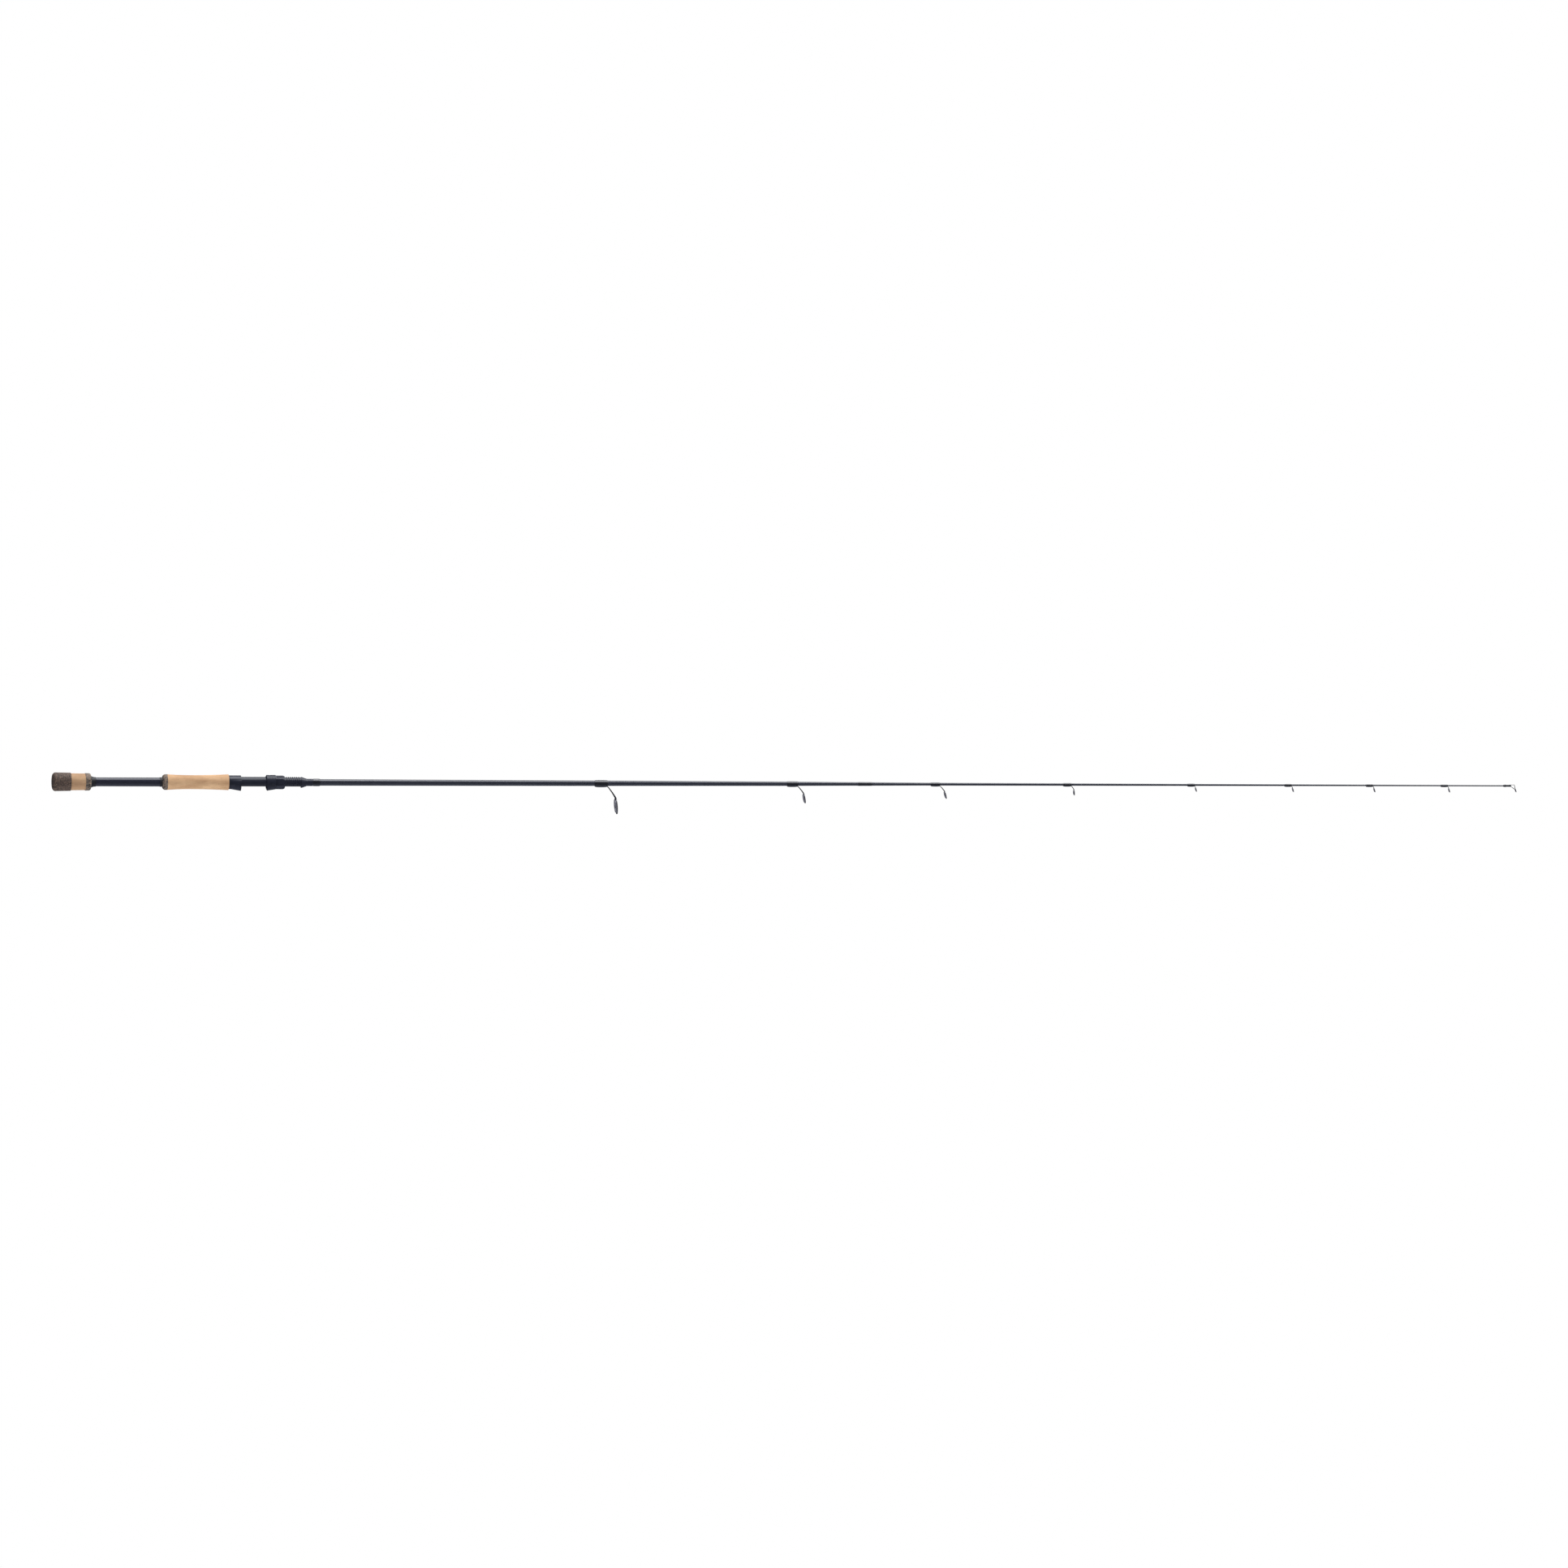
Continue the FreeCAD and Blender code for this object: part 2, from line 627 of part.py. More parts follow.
def below_flat(name, start, length, drop):
    """A block that fills everything below a flat parallel to the rod's axis."""
    reach = size["nut_corners_d"]
    block = part("Box", name, Length=length, Width=reach * 2, Height=reach)
    place(block, start, -reach, -(drop + reach))
    return block


def seat_barrel():
    """Barrel, screw thread, nose and tail in one moulding, with a flat below for the reel's foot."""
    barrel = size["barrel_d"] / 2
    root = size["thread_root_d"] / 2
    crest = size["thread_crest_d"] / 2
    tail = size["tail_d"] / 2
    bore = size["barrel_bore_d"] / 2
    tail_bore = blank_radius(tail_rear) + size["glue_gap"]
    corners = [
        (seat_rear, barrel),
        (thread_rear, barrel),
        (thread_rear, root),
        (thread_front, root),
        (thread_front, crest),
        (nose_rear, crest),
        (tail_rear, tail),
        (seat_front, tail),
        (seat_front, tail_bore),
        (nose_rear, tail_bore),
        (nose_rear, bore),
        (seat_rear, bore),
    ]
    core = turned("seat_core", corners)
    length = size["thread_length"] - size["thread_pitch"]
    ridge = helical_ridge(
        "SeatThread", thread_start, length, root, crest, size["thread_root_width"], size["thread_crest_width"]
    )
    flat_start = seat_rear + size["fixed_hood_length"] - size["pocket_depth"]
    flat = below_flat("FootFlat", flat_start, thread_front - flat_start, size["foot_flat_drop"])
    seat = joined("SeatBarrel", [cut("SeatFlat", core, flat), cut("ThreadFlat", ridge, flat)])
    seat.Refine = False
    node("seat_barrel", seat)


def seat_arbors():
    """Two bushings between the blank and the seat's bore."""
    outer = size["barrel_bore_d"] / 2 - size["glue_gap"]
    starts = (seat_rear + size["arbor_inset"], nose_rear - size["arbor_length"] - size["arbor_inset"])
    for label, rear in zip(("seat_arbor_rear", "seat_arbor_front"), starts):
        front = rear + size["arbor_length"]
        node(label, turned(label, [(rear, outer), (front, outer)] + on_blank(rear, front)))


def hood_pocket(name, mouth_at, blind_at):
    """The hollow that takes one end of the reel's foot: wide at the mouth, shallow at its blind end."""
    mouth_radius = size["hood_bulge_d"] / 2 - size["hood_wall"]
    mouth_drop = size["hood_depth"] - size["hood_wall"] - mouth_radius
    blind_radius = size["pocket_blind_d"] / 2
    blind_drop = size["pocket_blind_drop"]
    return skewed_cone(name, blind_at, blind_drop, blind_radius, mouth_at, mouth_drop, mouth_radius)


def fixed_hood():
    """Hood glued on the barrel against the grip, its pocket open towards the tip."""
    front = seat_rear + size["fixed_hood_length"]
    bulge_radius = size["hood_bulge_d"] / 2
    rear_radius = size["hood_rear_d"] / 2
    collar = rod_along_x("FixedCollar", seat_rear, size["fixed_hood_length"], size["hood_collar_d"] / 2)
    bulge_drop = size["hood_depth"] - bulge_radius
    bulge = skewed_cone("FixedBulge", seat_rear, 0, rear_radius, front, bulge_drop, bulge_radius)
    bore_radius = size["barrel_d"] / 2 + size["glue_gap"]
    past = size["past_face"]
    bore = rod_along_x("FixedBore", seat_rear - past, size["fixed_hood_length"] + past * 2, bore_radius)
    pocket = hood_pocket("FixedPocket", front + past, front - size["pocket_depth"])
    bored_hood = cut("FixedBored", joined("FixedOuter", [collar, bulge]), bore)
    node("fixed_hood", cut("FixedHood", bored_hood, pocket))


def movable_hood():
    """Sliding hood, its pocket open towards the butt. A web inside it rides on the barrel's flat as a key."""
    length = size["movable_hood_length"]
    bulge_radius = size["hood_bulge_d"] / 2
    front_radius = size["movable_hood_front_d"] / 2
    collar_radius = size["movable_hood_d"] / 2
    rise = size["movable_hood_rise"]
    collar = skewed_cone("MovableCollar", hood_mouth, -rise, collar_radius, hood_front, -rise, collar_radius)
    bulge_drop = size["hood_depth"] - bulge_radius
    bulge = skewed_cone("MovableBulge", hood_mouth, bulge_drop, bulge_radius, hood_front, 0, front_radius)
    past = size["past_face"]
    slope = (size["hood_depth"] - size["barrel_d"] / 2) / size["mouth_bevel"]
    bevel_length = length + past * 2
    bevel_start = size["barrel_d"] / 2 - slope * past
    bevel = part("Cone", "MouthBevel", Radius1=bevel_start, Radius2=bevel_start + slope * bevel_length)
    bind(bevel, "Height", bevel_length)
    place(bevel, hood_mouth - past, 0, 0, [ALONG_X])
    bevelled_collar = common("BevelledCollar", collar, bevel)
    bevelled = joined("MovableBevelled", [bevelled_collar, common("BevelledBulge", bulge, bevel)])
    bore_radius = size["barrel_d"] / 2 + size["hood_clearance"]
    bore = rod_along_x("MovableBore", hood_mouth - past, bevel_length, bore_radius)
    key_drop = size["foot_flat_drop"] + size["hood_clearance"]
    keyed = cut("KeyedBore", bore, below_flat("KeyWeb", hood_mouth - past, bevel_length, key_drop))
    pocket = hood_pocket("MovablePocket", hood_mouth - past, hood_mouth + size["pocket_depth"])
    hollowed = cut("MovableHollowed", cut("MovableBored", bevelled, keyed), pocket)
    node("movable_hood", cut("MovableHood", hollowed, joined("Grooves", hood_grooves())))


def hood_grooves():
    """Half rings that groove the top of the movable hood."""
    grooves = []
    hood_radius = size["movable_hood_d"] / 2
    for index in range(HOOD_GROOVES):
        ring = part("Torus", "Groove%d" % index, Radius1=hood_radius, Radius2=size["hood_groove_d"] / 2)
        ring.Angle3 = GROOVE_SWEEP
        x = hood_front - size["hood_groove_pitch"] * (index + GROOVE_INSET)
        place(ring, x, 0, size["movable_hood_rise"], [ALONG_X, (ABOUT_Z, (FULL_TURN - GROOVE_SWEEP) / 2)])
        grooves.append(ring)
    return grooves


def lock_nut():
    """Six-sided nut with turned corners, a front chamfer and its own thread."""
    length = size["nut_length"]
    prism = part("Prism", "NutPrism", Circumradius=size["nut_corners_d"] / 2, Height=length)
    prism.Polygon = NUT_SIDES
    place(prism, nut_rear, 0, 0, [ALONG_X])
    round_radius = size["nut_round_d"] / 2
    chamfer_rear = nut_rear + length - size["nut_chamfer"]
    corners = [(nut_rear, 0), (nut_rear, round_radius), (chamfer_rear, round_radius)]
    corners += [(nut_rear + length, size["nut_front_d"] / 2), (nut_rear + length, 0)]
    blank_nut = common("NutBlank", prism, turned("nut_turned", corners))
    clearance = size["thread_clearance"]
    bore_radius = size["thread_root_d"] / 2 + clearance
    bore = rod_along_x("NutBore", nut_rear, length, bore_radius)
    pitch = size["thread_pitch"]
    turns_behind = math.floor((nut_rear.value - thread_start.value) / pitch.value) - 1
    turns_inside = math.ceil(length.value / pitch.value) + 2
    start = thread_start + pitch * turns_behind
    ridge = helical_ridge(
        "NutThread",
        start,
        pitch * turns_inside,
        size["thread_root_d"] / 2,
        size["thread_crest_d"] / 2 + clearance,
        size["thread_root_width"] + clearance * 2,
        size["thread_crest_width"] + clearance * 2,
    )
    recesses = joined("NutRecesses", [nut_recess(index) for index in (0, 1)])
    bored_nut = cut("NutBored", cut("NutRecessed", blank_nut, recesses), bore)
    span = rod_along_x("NutSpan", nut_rear, length, size["nut_corners_d"] / 2)
    inside = common("NutThreadInside", ridge, span)
    node("lock_nut", cut("LockNut", bored_nut, inside))


def nut_recess(index):
    """Shallow finger recess in one facet of the nut, or in the facet opposite it."""
    depth = size["nut_recess_depth"]
    width = size["nut_recess_width"]
    box = part("Box", "NutRecess%d" % index, Length=size["nut_recess_length"], Width=width, Height=depth * 2)
    turn = Size.of(NUT_FACET_TURN + FULL_TURN / 2 * index)
    rise = size["nut_corners_d"] / 2 * cosine(Size.of(NUT_FACET_TURN)) - depth
    y = -width / 2 * cosine(turn) - rise * sine(turn)
    z = -width / 2 * sine(turn) + rise * cosine(turn)
    place(box, nut_rear + size["nut_recess_inset"], y, z, [(ABOUT_X, turn)])
    return box


# Blanks and wraps ---------------------------------------------------------------------------------


def butt_blank():
    """Hollow tapered tube that steps down to the male ferrule end."""
    outer = list(BUTT_STATIONS)
    outer += [(shoulder, size["male_root_d"] / 2), (male_end, size["male_end_d"] / 2)]
    rear, rear_radius = BUTT_STATIONS[0]
    inner = [(male_end, size["male_bore_d"] / 2), (rear, rear_radius - size["blank_wall"])]
    node("butt_blank", turned("butt_blank", outer + inner))


def tip_blank():
    """Hollow tapered tube whose rear end is the female ferrule."""
    clearance = size["ferrule_clearance"]
    room = male_end + size["ferrule_end_room"]
    inner = [
        (tip_blank_end, size["tip_end_bore_d"] / 2),
        (mouth + size["tip_first_at"], size["tip_first_d"] / 2 - size["tip_wall"]),
        (room, size["male_end_d"] / 2 + clearance),
        (male_end, size["male_end_d"] / 2 + clearance),
        (mouth, size["male_root_d"] / 2 + clearance),
    ]
    node("tip_blank", turned("tip_blank", list(TIP_STATIONS) + inner))


def plain_wrap(label, rear, length, build):
    """Thread wrap under epoxy, a low lens around the blank with both ends feathered out."""
    front = rear + length
    shoulder_in = length * WRAP_SHOULDER
    bore = on_blank(rear, front, size["glue_gap"] / 2)
    rise = [WRAP_EDGE_BUILD, 1.0, 1.0, WRAP_EDGE_BUILD]
    places = [rear, rear + shoulder_in, front - shoulder_in, front]
    outer = [(x, blank_radius(x) + build * part_way) for x, part_way in zip(places, rise)]
    node(label, turned(label, outer + bore))


def strip(name, x, z, angle, length, rear_width, front_width, thickness):
    """A flat strip from (x, z) on the rod's middle plane, falling by an angle below +X."""
    wedge = part(
        "Wedge",
        name,
        Xmin=-rear_width / 2,
        Xmax=rear_width / 2,
        X2min=-front_width / 2,
        X2max=front_width / 2,
        Ymax=length,
        Zmax=thickness,
        Z2max=thickness,
    )
    for prop in ("Ymin", "Zmin", "Z2min"):
        bind(wedge, prop, 0)
    place(wedge, x, 0, z, [(ABOUT_Y, angle), (ABOUT_Z, -90)])
    return wedge


def ring_disc(name, x, z, tilt, back, thickness, radius):
    """A disc whose axis is tilted back from the rod's, starting a distance behind the ring's centre."""
    disc = part("Cylinder", name, Radius=radius, Height=thickness)
    place(disc, x - cosine(tilt) * back, 0, z - sine(tilt) * back, [(ABOUT_Y, 90 - tilt)])
    return disc


def ceramic_ring(label, x, z, tilt, bore_d, outer_d, thickness):
    """Ceramic ring with a short straight land and flared lips, leaning with its hoop."""
    half = thickness / 2
    land = size["insert_land"]
    bore = bore_d / 2
    outer = outer_d / 2
    flare = (outer - bore) * LIP_FLARE
    corners = [
        (0, bore + flare),
        (half * LIP_SLOPE, outer - flare / 2),
        (half - land, outer),
        (half + land, outer),
        (thickness - half * LIP_SLOPE, outer - flare / 2),
        (thickness, bore + flare),
        (half + land, bore),
        (half - land, bore),
    ]
    body = turned(label, corners)
    place(body, x - cosine(tilt) * half, 0, z - sine(tilt) * half, [(ABOUT_Y, -tilt)])
    node(label, body)


def guide_frame(name, kind, rear, ring_x, ring_z):
    """Stamped frame: a foot under the blank, a leg that falls forward and the hoop around its ring."""
    thickness = size[kind + "_strip"]
    foot_width = size[kind + "_foot_width"]
    wrap_length = size[kind + "_wrap_length"]
    tilt = size[kind + "_tilt"]
    hoop = size[kind + "_hoop_d"] / 2
    gap = size["foot_gap"]
    foot_z = -(blank_radius(rear) + gap + thickness)
    foot_rear = rear + wrap_length * FOOT_INSET
    leg_x = rear + wrap_length
    foot_length = leg_x - foot_rear
    level = Size.of(0)
    foot = strip(name + "Foot", foot_rear, foot_z, level, foot_length, foot_width / 2, foot_width, thickness)
    run = ring_x - sine(tilt) * (hoop - thickness) - leg_x
    drop = foot_z - (ring_z + cosine(tilt) * (hoop - thickness))
    fall = fall_angle(run, drop)
    bite = thickness / 2
    start_x = leg_x - cosine(fall) * bite
    start_z = foot_z + sine(fall) * bite
    length = distance(run, drop) + bite * 2
    leg = strip(name + "Leg", start_x, start_z, fall, length, foot_width, hoop, thickness)
    if kind in WINDOWED:
        leg = cut(name + "Legs", leg, leg_window(name, start_x, start_z, fall, length, hoop, thickness))
    disc = ring_disc(name + "Hoop", ring_x, ring_z, tilt, 0, thickness, hoop)
    seat_radius = size[kind + "_insert_d"] / 2 + gap
    bore = ring_disc(name + "Bore", ring_x, ring_z, tilt, thickness * 3, thickness * 6, seat_radius)
    node(name + "_frame", cut(name + "Frame", joined(name + "Stamping", [foot, leg, disc]), bore))


def leg_window(name, x, z, fall, length, hoop, thickness):
    """Tapered window that splits a wide leg into two."""
    window_x = x + cosine(fall) * length * WINDOW_START - sine(fall) * thickness
    window_z = z - sine(fall) * length * WINDOW_START - cosine(fall) * thickness
    window_length = length * (WINDOW_END - WINDOW_START)
    return strip(name + "Window", window_x, window_z, fall, window_length, thickness, hoop / 2, thickness * 3)


def guide_wrap(name, kind, rear):
    """Wrap over the blank and the guide's foot: a lens that hangs lower than the blank, hollowed for both."""
    length = size[kind + "_wrap_length"]
    above = size[kind + "_wrap_above"]
    below = size[kind + "_wrap_below"]
    thickness = size[kind + "_strip"]
    gap = size["foot_gap"]
    front = rear + length
    ends = length * WRAP_END
    build = (below + above) / 2
    start = blank_radius(rear) * WRAP_FEATHER
    finish = blank_radius(front) * WRAP_FEATHER
    corners = [
        (rear, start),
        (rear + ends, blank_radius(rear) + build),
        (front - ends, blank_radius(front) + build),
        (front, finish + above),
        (front, 0),
        (rear, 0),
    ]
    body = turned(name, corners, drop=(below - above) / 2)
    around_blank = on_blank(rear - gap, front + gap, gap / 2)[::-1]
    bored(body, name, [(rear - gap, 0)] + around_blank + [(front + gap, 0)])
    slot = body.newObject("PartDesign::SubtractiveBox", "FootSlot_" + name)
    width = size[kind + "_foot_width"] + gap * 2
    bind(slot, "Length", length)
    bind(slot, "Width", width)
    bind(slot, "Height", blank_radius(rear) + thickness + gap * 2)
    place(slot, rear + length * FOOT_INSET - gap, -width / 2, -(blank_radius(rear) + thickness + gap * 2))
    node(name, body)


def guide(number, kind):
    """One guide: frame, ceramic ring and the wrap that holds its foot."""
    name = "guide_%d" % number
    rear = size[name + "_at"]
    ring_x = rear + size[kind + "_reach"]
    ring_z = -size[kind + "_drop"]
    sizes = [size[kind + "_" + word] for word in ("tilt", "bore_d", "insert_d", "insert_thickness")]
    guide_frame(name, kind, rear, ring_x, ring_z)
    ceramic_ring(name + "_ring", ring_x, ring_z, *sizes)
    guide_wrap(name + "_wrap", kind, rear)


def strut(name, start, end, radius):
    """A round strut between two points."""
    run = end[0] - start[0]
    side = end[1] - start[1]
    drop = start[2] - end[2]
    level = distance(run, side)
    rod = part("Cylinder", name, Radius=radius, Height=distance(level, drop))
    place(rod, *start, [(ABOUT_Z, fall_angle(run, side)), (ABOUT_Y, 90 + fall_angle(level, drop))])
    return rod


def tip_top():
    """Tube over the blank's end, a bent strip above, two struts below and the hoop with its ceramic ring."""
    front = tip_tube_rear + size["tip_tube_length"]
    radius = size["tip_tube_d"] / 2
    tilt = size["tip_ring_tilt"]
    hoop = size["tip_hoop_d"] / 2
    thickness = size["tip_strip"]
    width = size["tip_strip_width"]
    ring_x = size["rod_length"]
    ring_z = -size["tip_ring_drop"]
    corners = [(tip_tube_rear, radius), (front, radius), (front, 0), (tip_blank_end, 0)]
    tube = turned("TipTube", corners + on_blank(tip_tube_rear, tip_blank_end))
    bend_x = ring_x - hoop / 2
    rise = radius - thickness * STRIP_SINK
    upper_rear = front - radius * 2
    upper_length = bend_x - front + radius * 2
    upper = strip("TipUpper", upper_rear, rise, Size.of(0), upper_length, width, width, thickness)
    top_x = ring_x - sine(tilt) * (hoop - thickness)
    top_z = ring_z + cosine(tilt) * (hoop - thickness)
    fall = fall_angle(top_x - bend_x + thickness, rise + thickness - top_z)
    length = distance(top_x - bend_x + thickness, rise + thickness - top_z)
    bend = strip("TipBend", bend_x - thickness, rise + thickness / 2, fall, length, width, hoop, thickness)
    struts = []
    reach = (hoop + size["tip_insert_d"] / 2) / 2
    for index, side in enumerate((-1, 1)):
        start = (front - radius / 2, radius * STRUT_SPREAD * side, -radius * STRUT_SPREAD)
        end_y = reach * STRUT_END_SPREAD * side
        end = (ring_x - sine(tilt) * reach / 2, end_y, ring_z + cosine(tilt) * reach / 2)
        struts.append(strut("TipStrut%d" % index, start, end, thickness / 2))
    disc = ring_disc("TipHoop", ring_x, ring_z, tilt, 0, thickness, hoop)
    seat_radius = size["tip_insert_d"] / 2 + size["foot_gap"]
    seat = ring_disc("TipBore", ring_x, ring_z, tilt, hoop, hoop * 2, seat_radius)
    node("tip_top_frame", cut("TipFrame", joined("TipMetal", [tube, upper, bend, disc] + struts), seat))
    ring_sizes = (size["tip_insert_bore_d"], size["tip_insert_d"], thickness * TIP_RING_THICKNESS)
    ceramic_ring("tip_top_ring", ring_x, ring_z, tilt, *ring_sizes)


def tip_top_wrap():
    """Bead of thread and epoxy over the blank and the rear of the tip-top tube."""
    rear = tip_tube_rear - size["tip_wrap_at"]
    front = rear + size["tip_wrap_length"]
    gap = size["glue_gap"]
    bead = size["tip_wrap_d"] / 2
    tube = size["tip_tube_d"] / 2
    shoulder_in = size["tip_wrap_length"] * TIP_BEAD_SHOULDER
    edge_gap = gap * TIP_BEAD_EDGE_GAPS
    corners = [
        (rear, blank_radius(rear) + edge_gap),
        (rear + shoulder_in, bead),
        (front - shoulder_in, bead),
        (front, tube + edge_gap),
        (front, tube + gap),
        (tip_tube_rear - gap, tube + gap),
        (tip_tube_rear - gap, blank_radius(tip_tube_rear) + gap),
        (rear, blank_radius(rear) + gap),
    ]
    node("tip_top_wrap", turned("tip_top_wrap", corners))


def check_and_export():
    """Stops if anything failed to build, then writes one STEP file for each node."""
    doc.recompute()
    for obj in doc.Objects:
        if "Invalid" in obj.State or "Error" in obj.State:
            raise RuntimeError("%s did not build: %s" % (obj.Name, obj.State))
    os.makedirs("parts", exist_ok=True)
    for obj in nodes:
        shape = obj.Shape
        if shape.isNull() or not shape.isValid() or shape.Volume <= 0:
            raise RuntimeError("%s has no valid solid" % obj.Label)
        shape.exportStep("parts/%s.step" % obj.Label)
        print("%-20s %10.1f mm3 %d solid(s)" % (obj.Label, shape.Volume, len(shape.Solids)))


butt_cap()
butt_cork_rings()
butt_burl_ring()
butt_check()
handle_tube()
handle_check()
grip_burl_ring()
grip_cork_rings()
seat_barrel()
seat_arbors()
fixed_hood()
movable_hood()
lock_nut()
butt_blank()
tip_blank()
trim_wrap_rear = seat_front + size["trim_wrap_at"]
plain_wrap("trim_wrap", trim_wrap_rear, size["trim_wrap_length"], size["trim_wrap_build"])
ferrule_wrap_rear = mouth + size["ferrule_wrap_at"]
plain_wrap("ferrule_wrap", ferrule_wrap_rear, size["ferrule_wrap_length"], size["ferrule_wrap_build"])
for guide_number, guide_kind, _ in GUIDES:
    guide(guide_number, guide_kind)
tip_top()
tip_top_wrap()
check_and_export()
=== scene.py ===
"""Looks of a two-piece spinning rod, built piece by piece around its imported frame, butt to tip."""

import math
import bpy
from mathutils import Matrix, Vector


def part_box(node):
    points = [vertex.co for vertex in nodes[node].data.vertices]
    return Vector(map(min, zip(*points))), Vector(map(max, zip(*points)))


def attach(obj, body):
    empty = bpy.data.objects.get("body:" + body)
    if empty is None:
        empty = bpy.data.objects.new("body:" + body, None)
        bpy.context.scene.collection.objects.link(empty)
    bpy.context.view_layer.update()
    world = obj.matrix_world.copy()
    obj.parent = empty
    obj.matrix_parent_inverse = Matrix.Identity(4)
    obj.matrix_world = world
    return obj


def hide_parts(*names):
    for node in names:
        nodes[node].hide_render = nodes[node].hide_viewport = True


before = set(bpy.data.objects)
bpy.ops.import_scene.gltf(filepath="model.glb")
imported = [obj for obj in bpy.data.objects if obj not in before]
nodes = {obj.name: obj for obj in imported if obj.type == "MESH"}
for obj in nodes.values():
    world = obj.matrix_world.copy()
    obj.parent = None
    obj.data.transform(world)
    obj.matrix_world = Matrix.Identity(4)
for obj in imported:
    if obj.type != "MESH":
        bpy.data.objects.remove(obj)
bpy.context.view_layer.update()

import bmesh
import bpy
from mathutils import Vector

MM = 0.001

# --------------------------------------------------------------------------------------------------
# Butt cap. Rubberised cork: cork crumbs pressed together with black rubber, bored blind, glued over
# the blank's end and sanded, with its rear edge rounded so that the rod can stand on it.

# Corners this close, in millimetres, are welded, and a corner this near a rim belongs to it.
WELD = 0.002
RIM_REACH = 0.02
RIM_SPREAD = 0.05
RIM_SEGMENTS = 5


def deselect():
    """Leaves nothing selected, so that the next tool acts on the new piece alone."""
    bpy.ops.object.select_all(action="DESELECT")


def select_edges(piece, wanted):
    """Selects the edges for which wanted(first corner, second corner) holds, in a piece open for editing."""
    mesh = bmesh.from_edit_mesh(piece.data)
    for edge in mesh.edges:
        edge.select = wanted(edge.verts[0].co, edge.verts[1].co)
    mesh.select_flush_mode()
    bmesh.update_edit_mesh(piece.data)


def turn_on_rod(name, stations, sides=96):
    """Draws a ring of corners along the rod through (x, radius, drop below the axis) in millimetres."""
    deselect()
    start, radius, drop = stations[0]
    bpy.ops.mesh.primitive_circle_add(
        vertices=sides,
        radius=radius * MM,
        location=(start * MM, 0, -drop * MM),
        rotation=(0, math.pi / 2, 0),
    )
    piece = bpy.context.active_object
    piece.name = piece.data.name = name
    bpy.ops.object.transform_apply(location=True, rotation=True, scale=True)
    bpy.ops.object.mode_set(mode="EDIT")
    bpy.ops.mesh.select_all(action="SELECT")
    for x, next_radius, next_drop in stations[1:]:
        move = ((x - start) * MM, 0, (drop - next_drop) * MM)
        bpy.ops.mesh.extrude_region_move(TRANSFORM_OT_translate={"value": move})
        ratio = next_radius / radius
        bpy.ops.transform.resize(value=(1, ratio, ratio), center_override=(x * MM, 0, -next_drop * MM))
        start, radius, drop = x, next_radius, next_drop
    bpy.ops.mesh.select_all(action="SELECT")
    bpy.ops.mesh.remove_doubles(threshold=WELD * MM)
    bpy.ops.mesh.select_all(action="DESELECT")
    bpy.ops.mesh.select_non_manifold()
    bpy.ops.mesh.fill_holes(sides=0)
    bpy.ops.mesh.select_all(action="SELECT")
    bpy.ops.mesh.normals_make_consistent(inside=False)
    bpy.ops.object.mode_set(mode="OBJECT")
    return piece


def round_rim(piece, x, radius, width):
    """Rounds the edge that runs round the piece at x, at that radius."""
    bpy.context.view_layer.objects.active = piece
    bpy.ops.object.mode_set(mode="EDIT")
    bpy.ops.mesh.select_mode(type="EDGE")

    def on_rim(first, second):
        return all(
            abs(co.x - x * MM) < RIM_REACH * MM
            and abs(math.hypot(co.y, co.z) - radius * MM) < RIM_SPREAD * MM
            for co in (first, second)
        )

    select_edges(piece, on_rim)
    bpy.ops.mesh.bevel(
        offset=width * MM, segments=RIM_SEGMENTS, affect="EDGES", profile=0.5, clamp_overlap=False
    )
    bpy.ops.mesh.select_mode(type="VERT")
    bpy.ops.object.mode_set(mode="OBJECT")


def roughen(piece, grain, depth):
    """Moves the surface in and out by up to half of depth, in lumps as large as grain, in millimetres."""
    lumps = bpy.data.textures.new(piece.name + "_lumps", type="CLOUDS")
    lumps.noise_scale = grain * MM
    press = piece.modifiers.new("lumps", "DISPLACE")
    press.texture = lumps
    press.texture_coords = "LOCAL"
    press.strength = depth * MM
    press.mid_level = 0.5
    bpy.context.view_layer.objects.active = piece
    bpy.ops.object.modifier_apply(modifier=press.name)


def smooth(piece, angle=35):
    """Shades the piece smooth except over edges sharper than the angle in degrees."""
    deselect()
    piece.select_set(True)
    bpy.context.view_layer.objects.active = piece
    bpy.ops.object.shade_smooth_by_angle(angle=math.radians(angle))


def fit(piece, body, slot, finish, *replaced):
    """Gives the piece its finish and its place on the rod."""
    piece.data.materials.clear()
    piece.data.materials.append(finish)
    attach(piece, body)
    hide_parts(*replaced)


def new_finish(name):
    """A new material with its node tree and its surface shader."""
    finish = bpy.data.materials.new(name)
    finish.use_nodes = True
    return finish, finish.node_tree, finish.node_tree.nodes["Principled BSDF"]


def on_object(tree, stretch=(1, 1, 1)):
    """The piece's own coordinates in metres, stretched for a pattern."""
    coords = tree.nodes.new("ShaderNodeTexCoord")
    mapping = tree.nodes.new("ShaderNodeMapping")
    mapping.inputs["Scale"].default_value = stretch
    tree.links.new(coords.outputs["Object"], mapping.inputs["Vector"])
    return mapping.outputs["Vector"]


def noise(tree, vector, scale, detail=4.0, roughness=0.55):
    """Soft noise with so many lumps to the metre."""
    node = tree.nodes.new("ShaderNodeTexNoise")
    node.inputs["Scale"].default_value = scale
    node.inputs["Detail"].default_value = detail
    node.inputs["Roughness"].default_value = roughness
    tree.links.new(vector, node.inputs["Vector"])
    return node.outputs["Fac"]


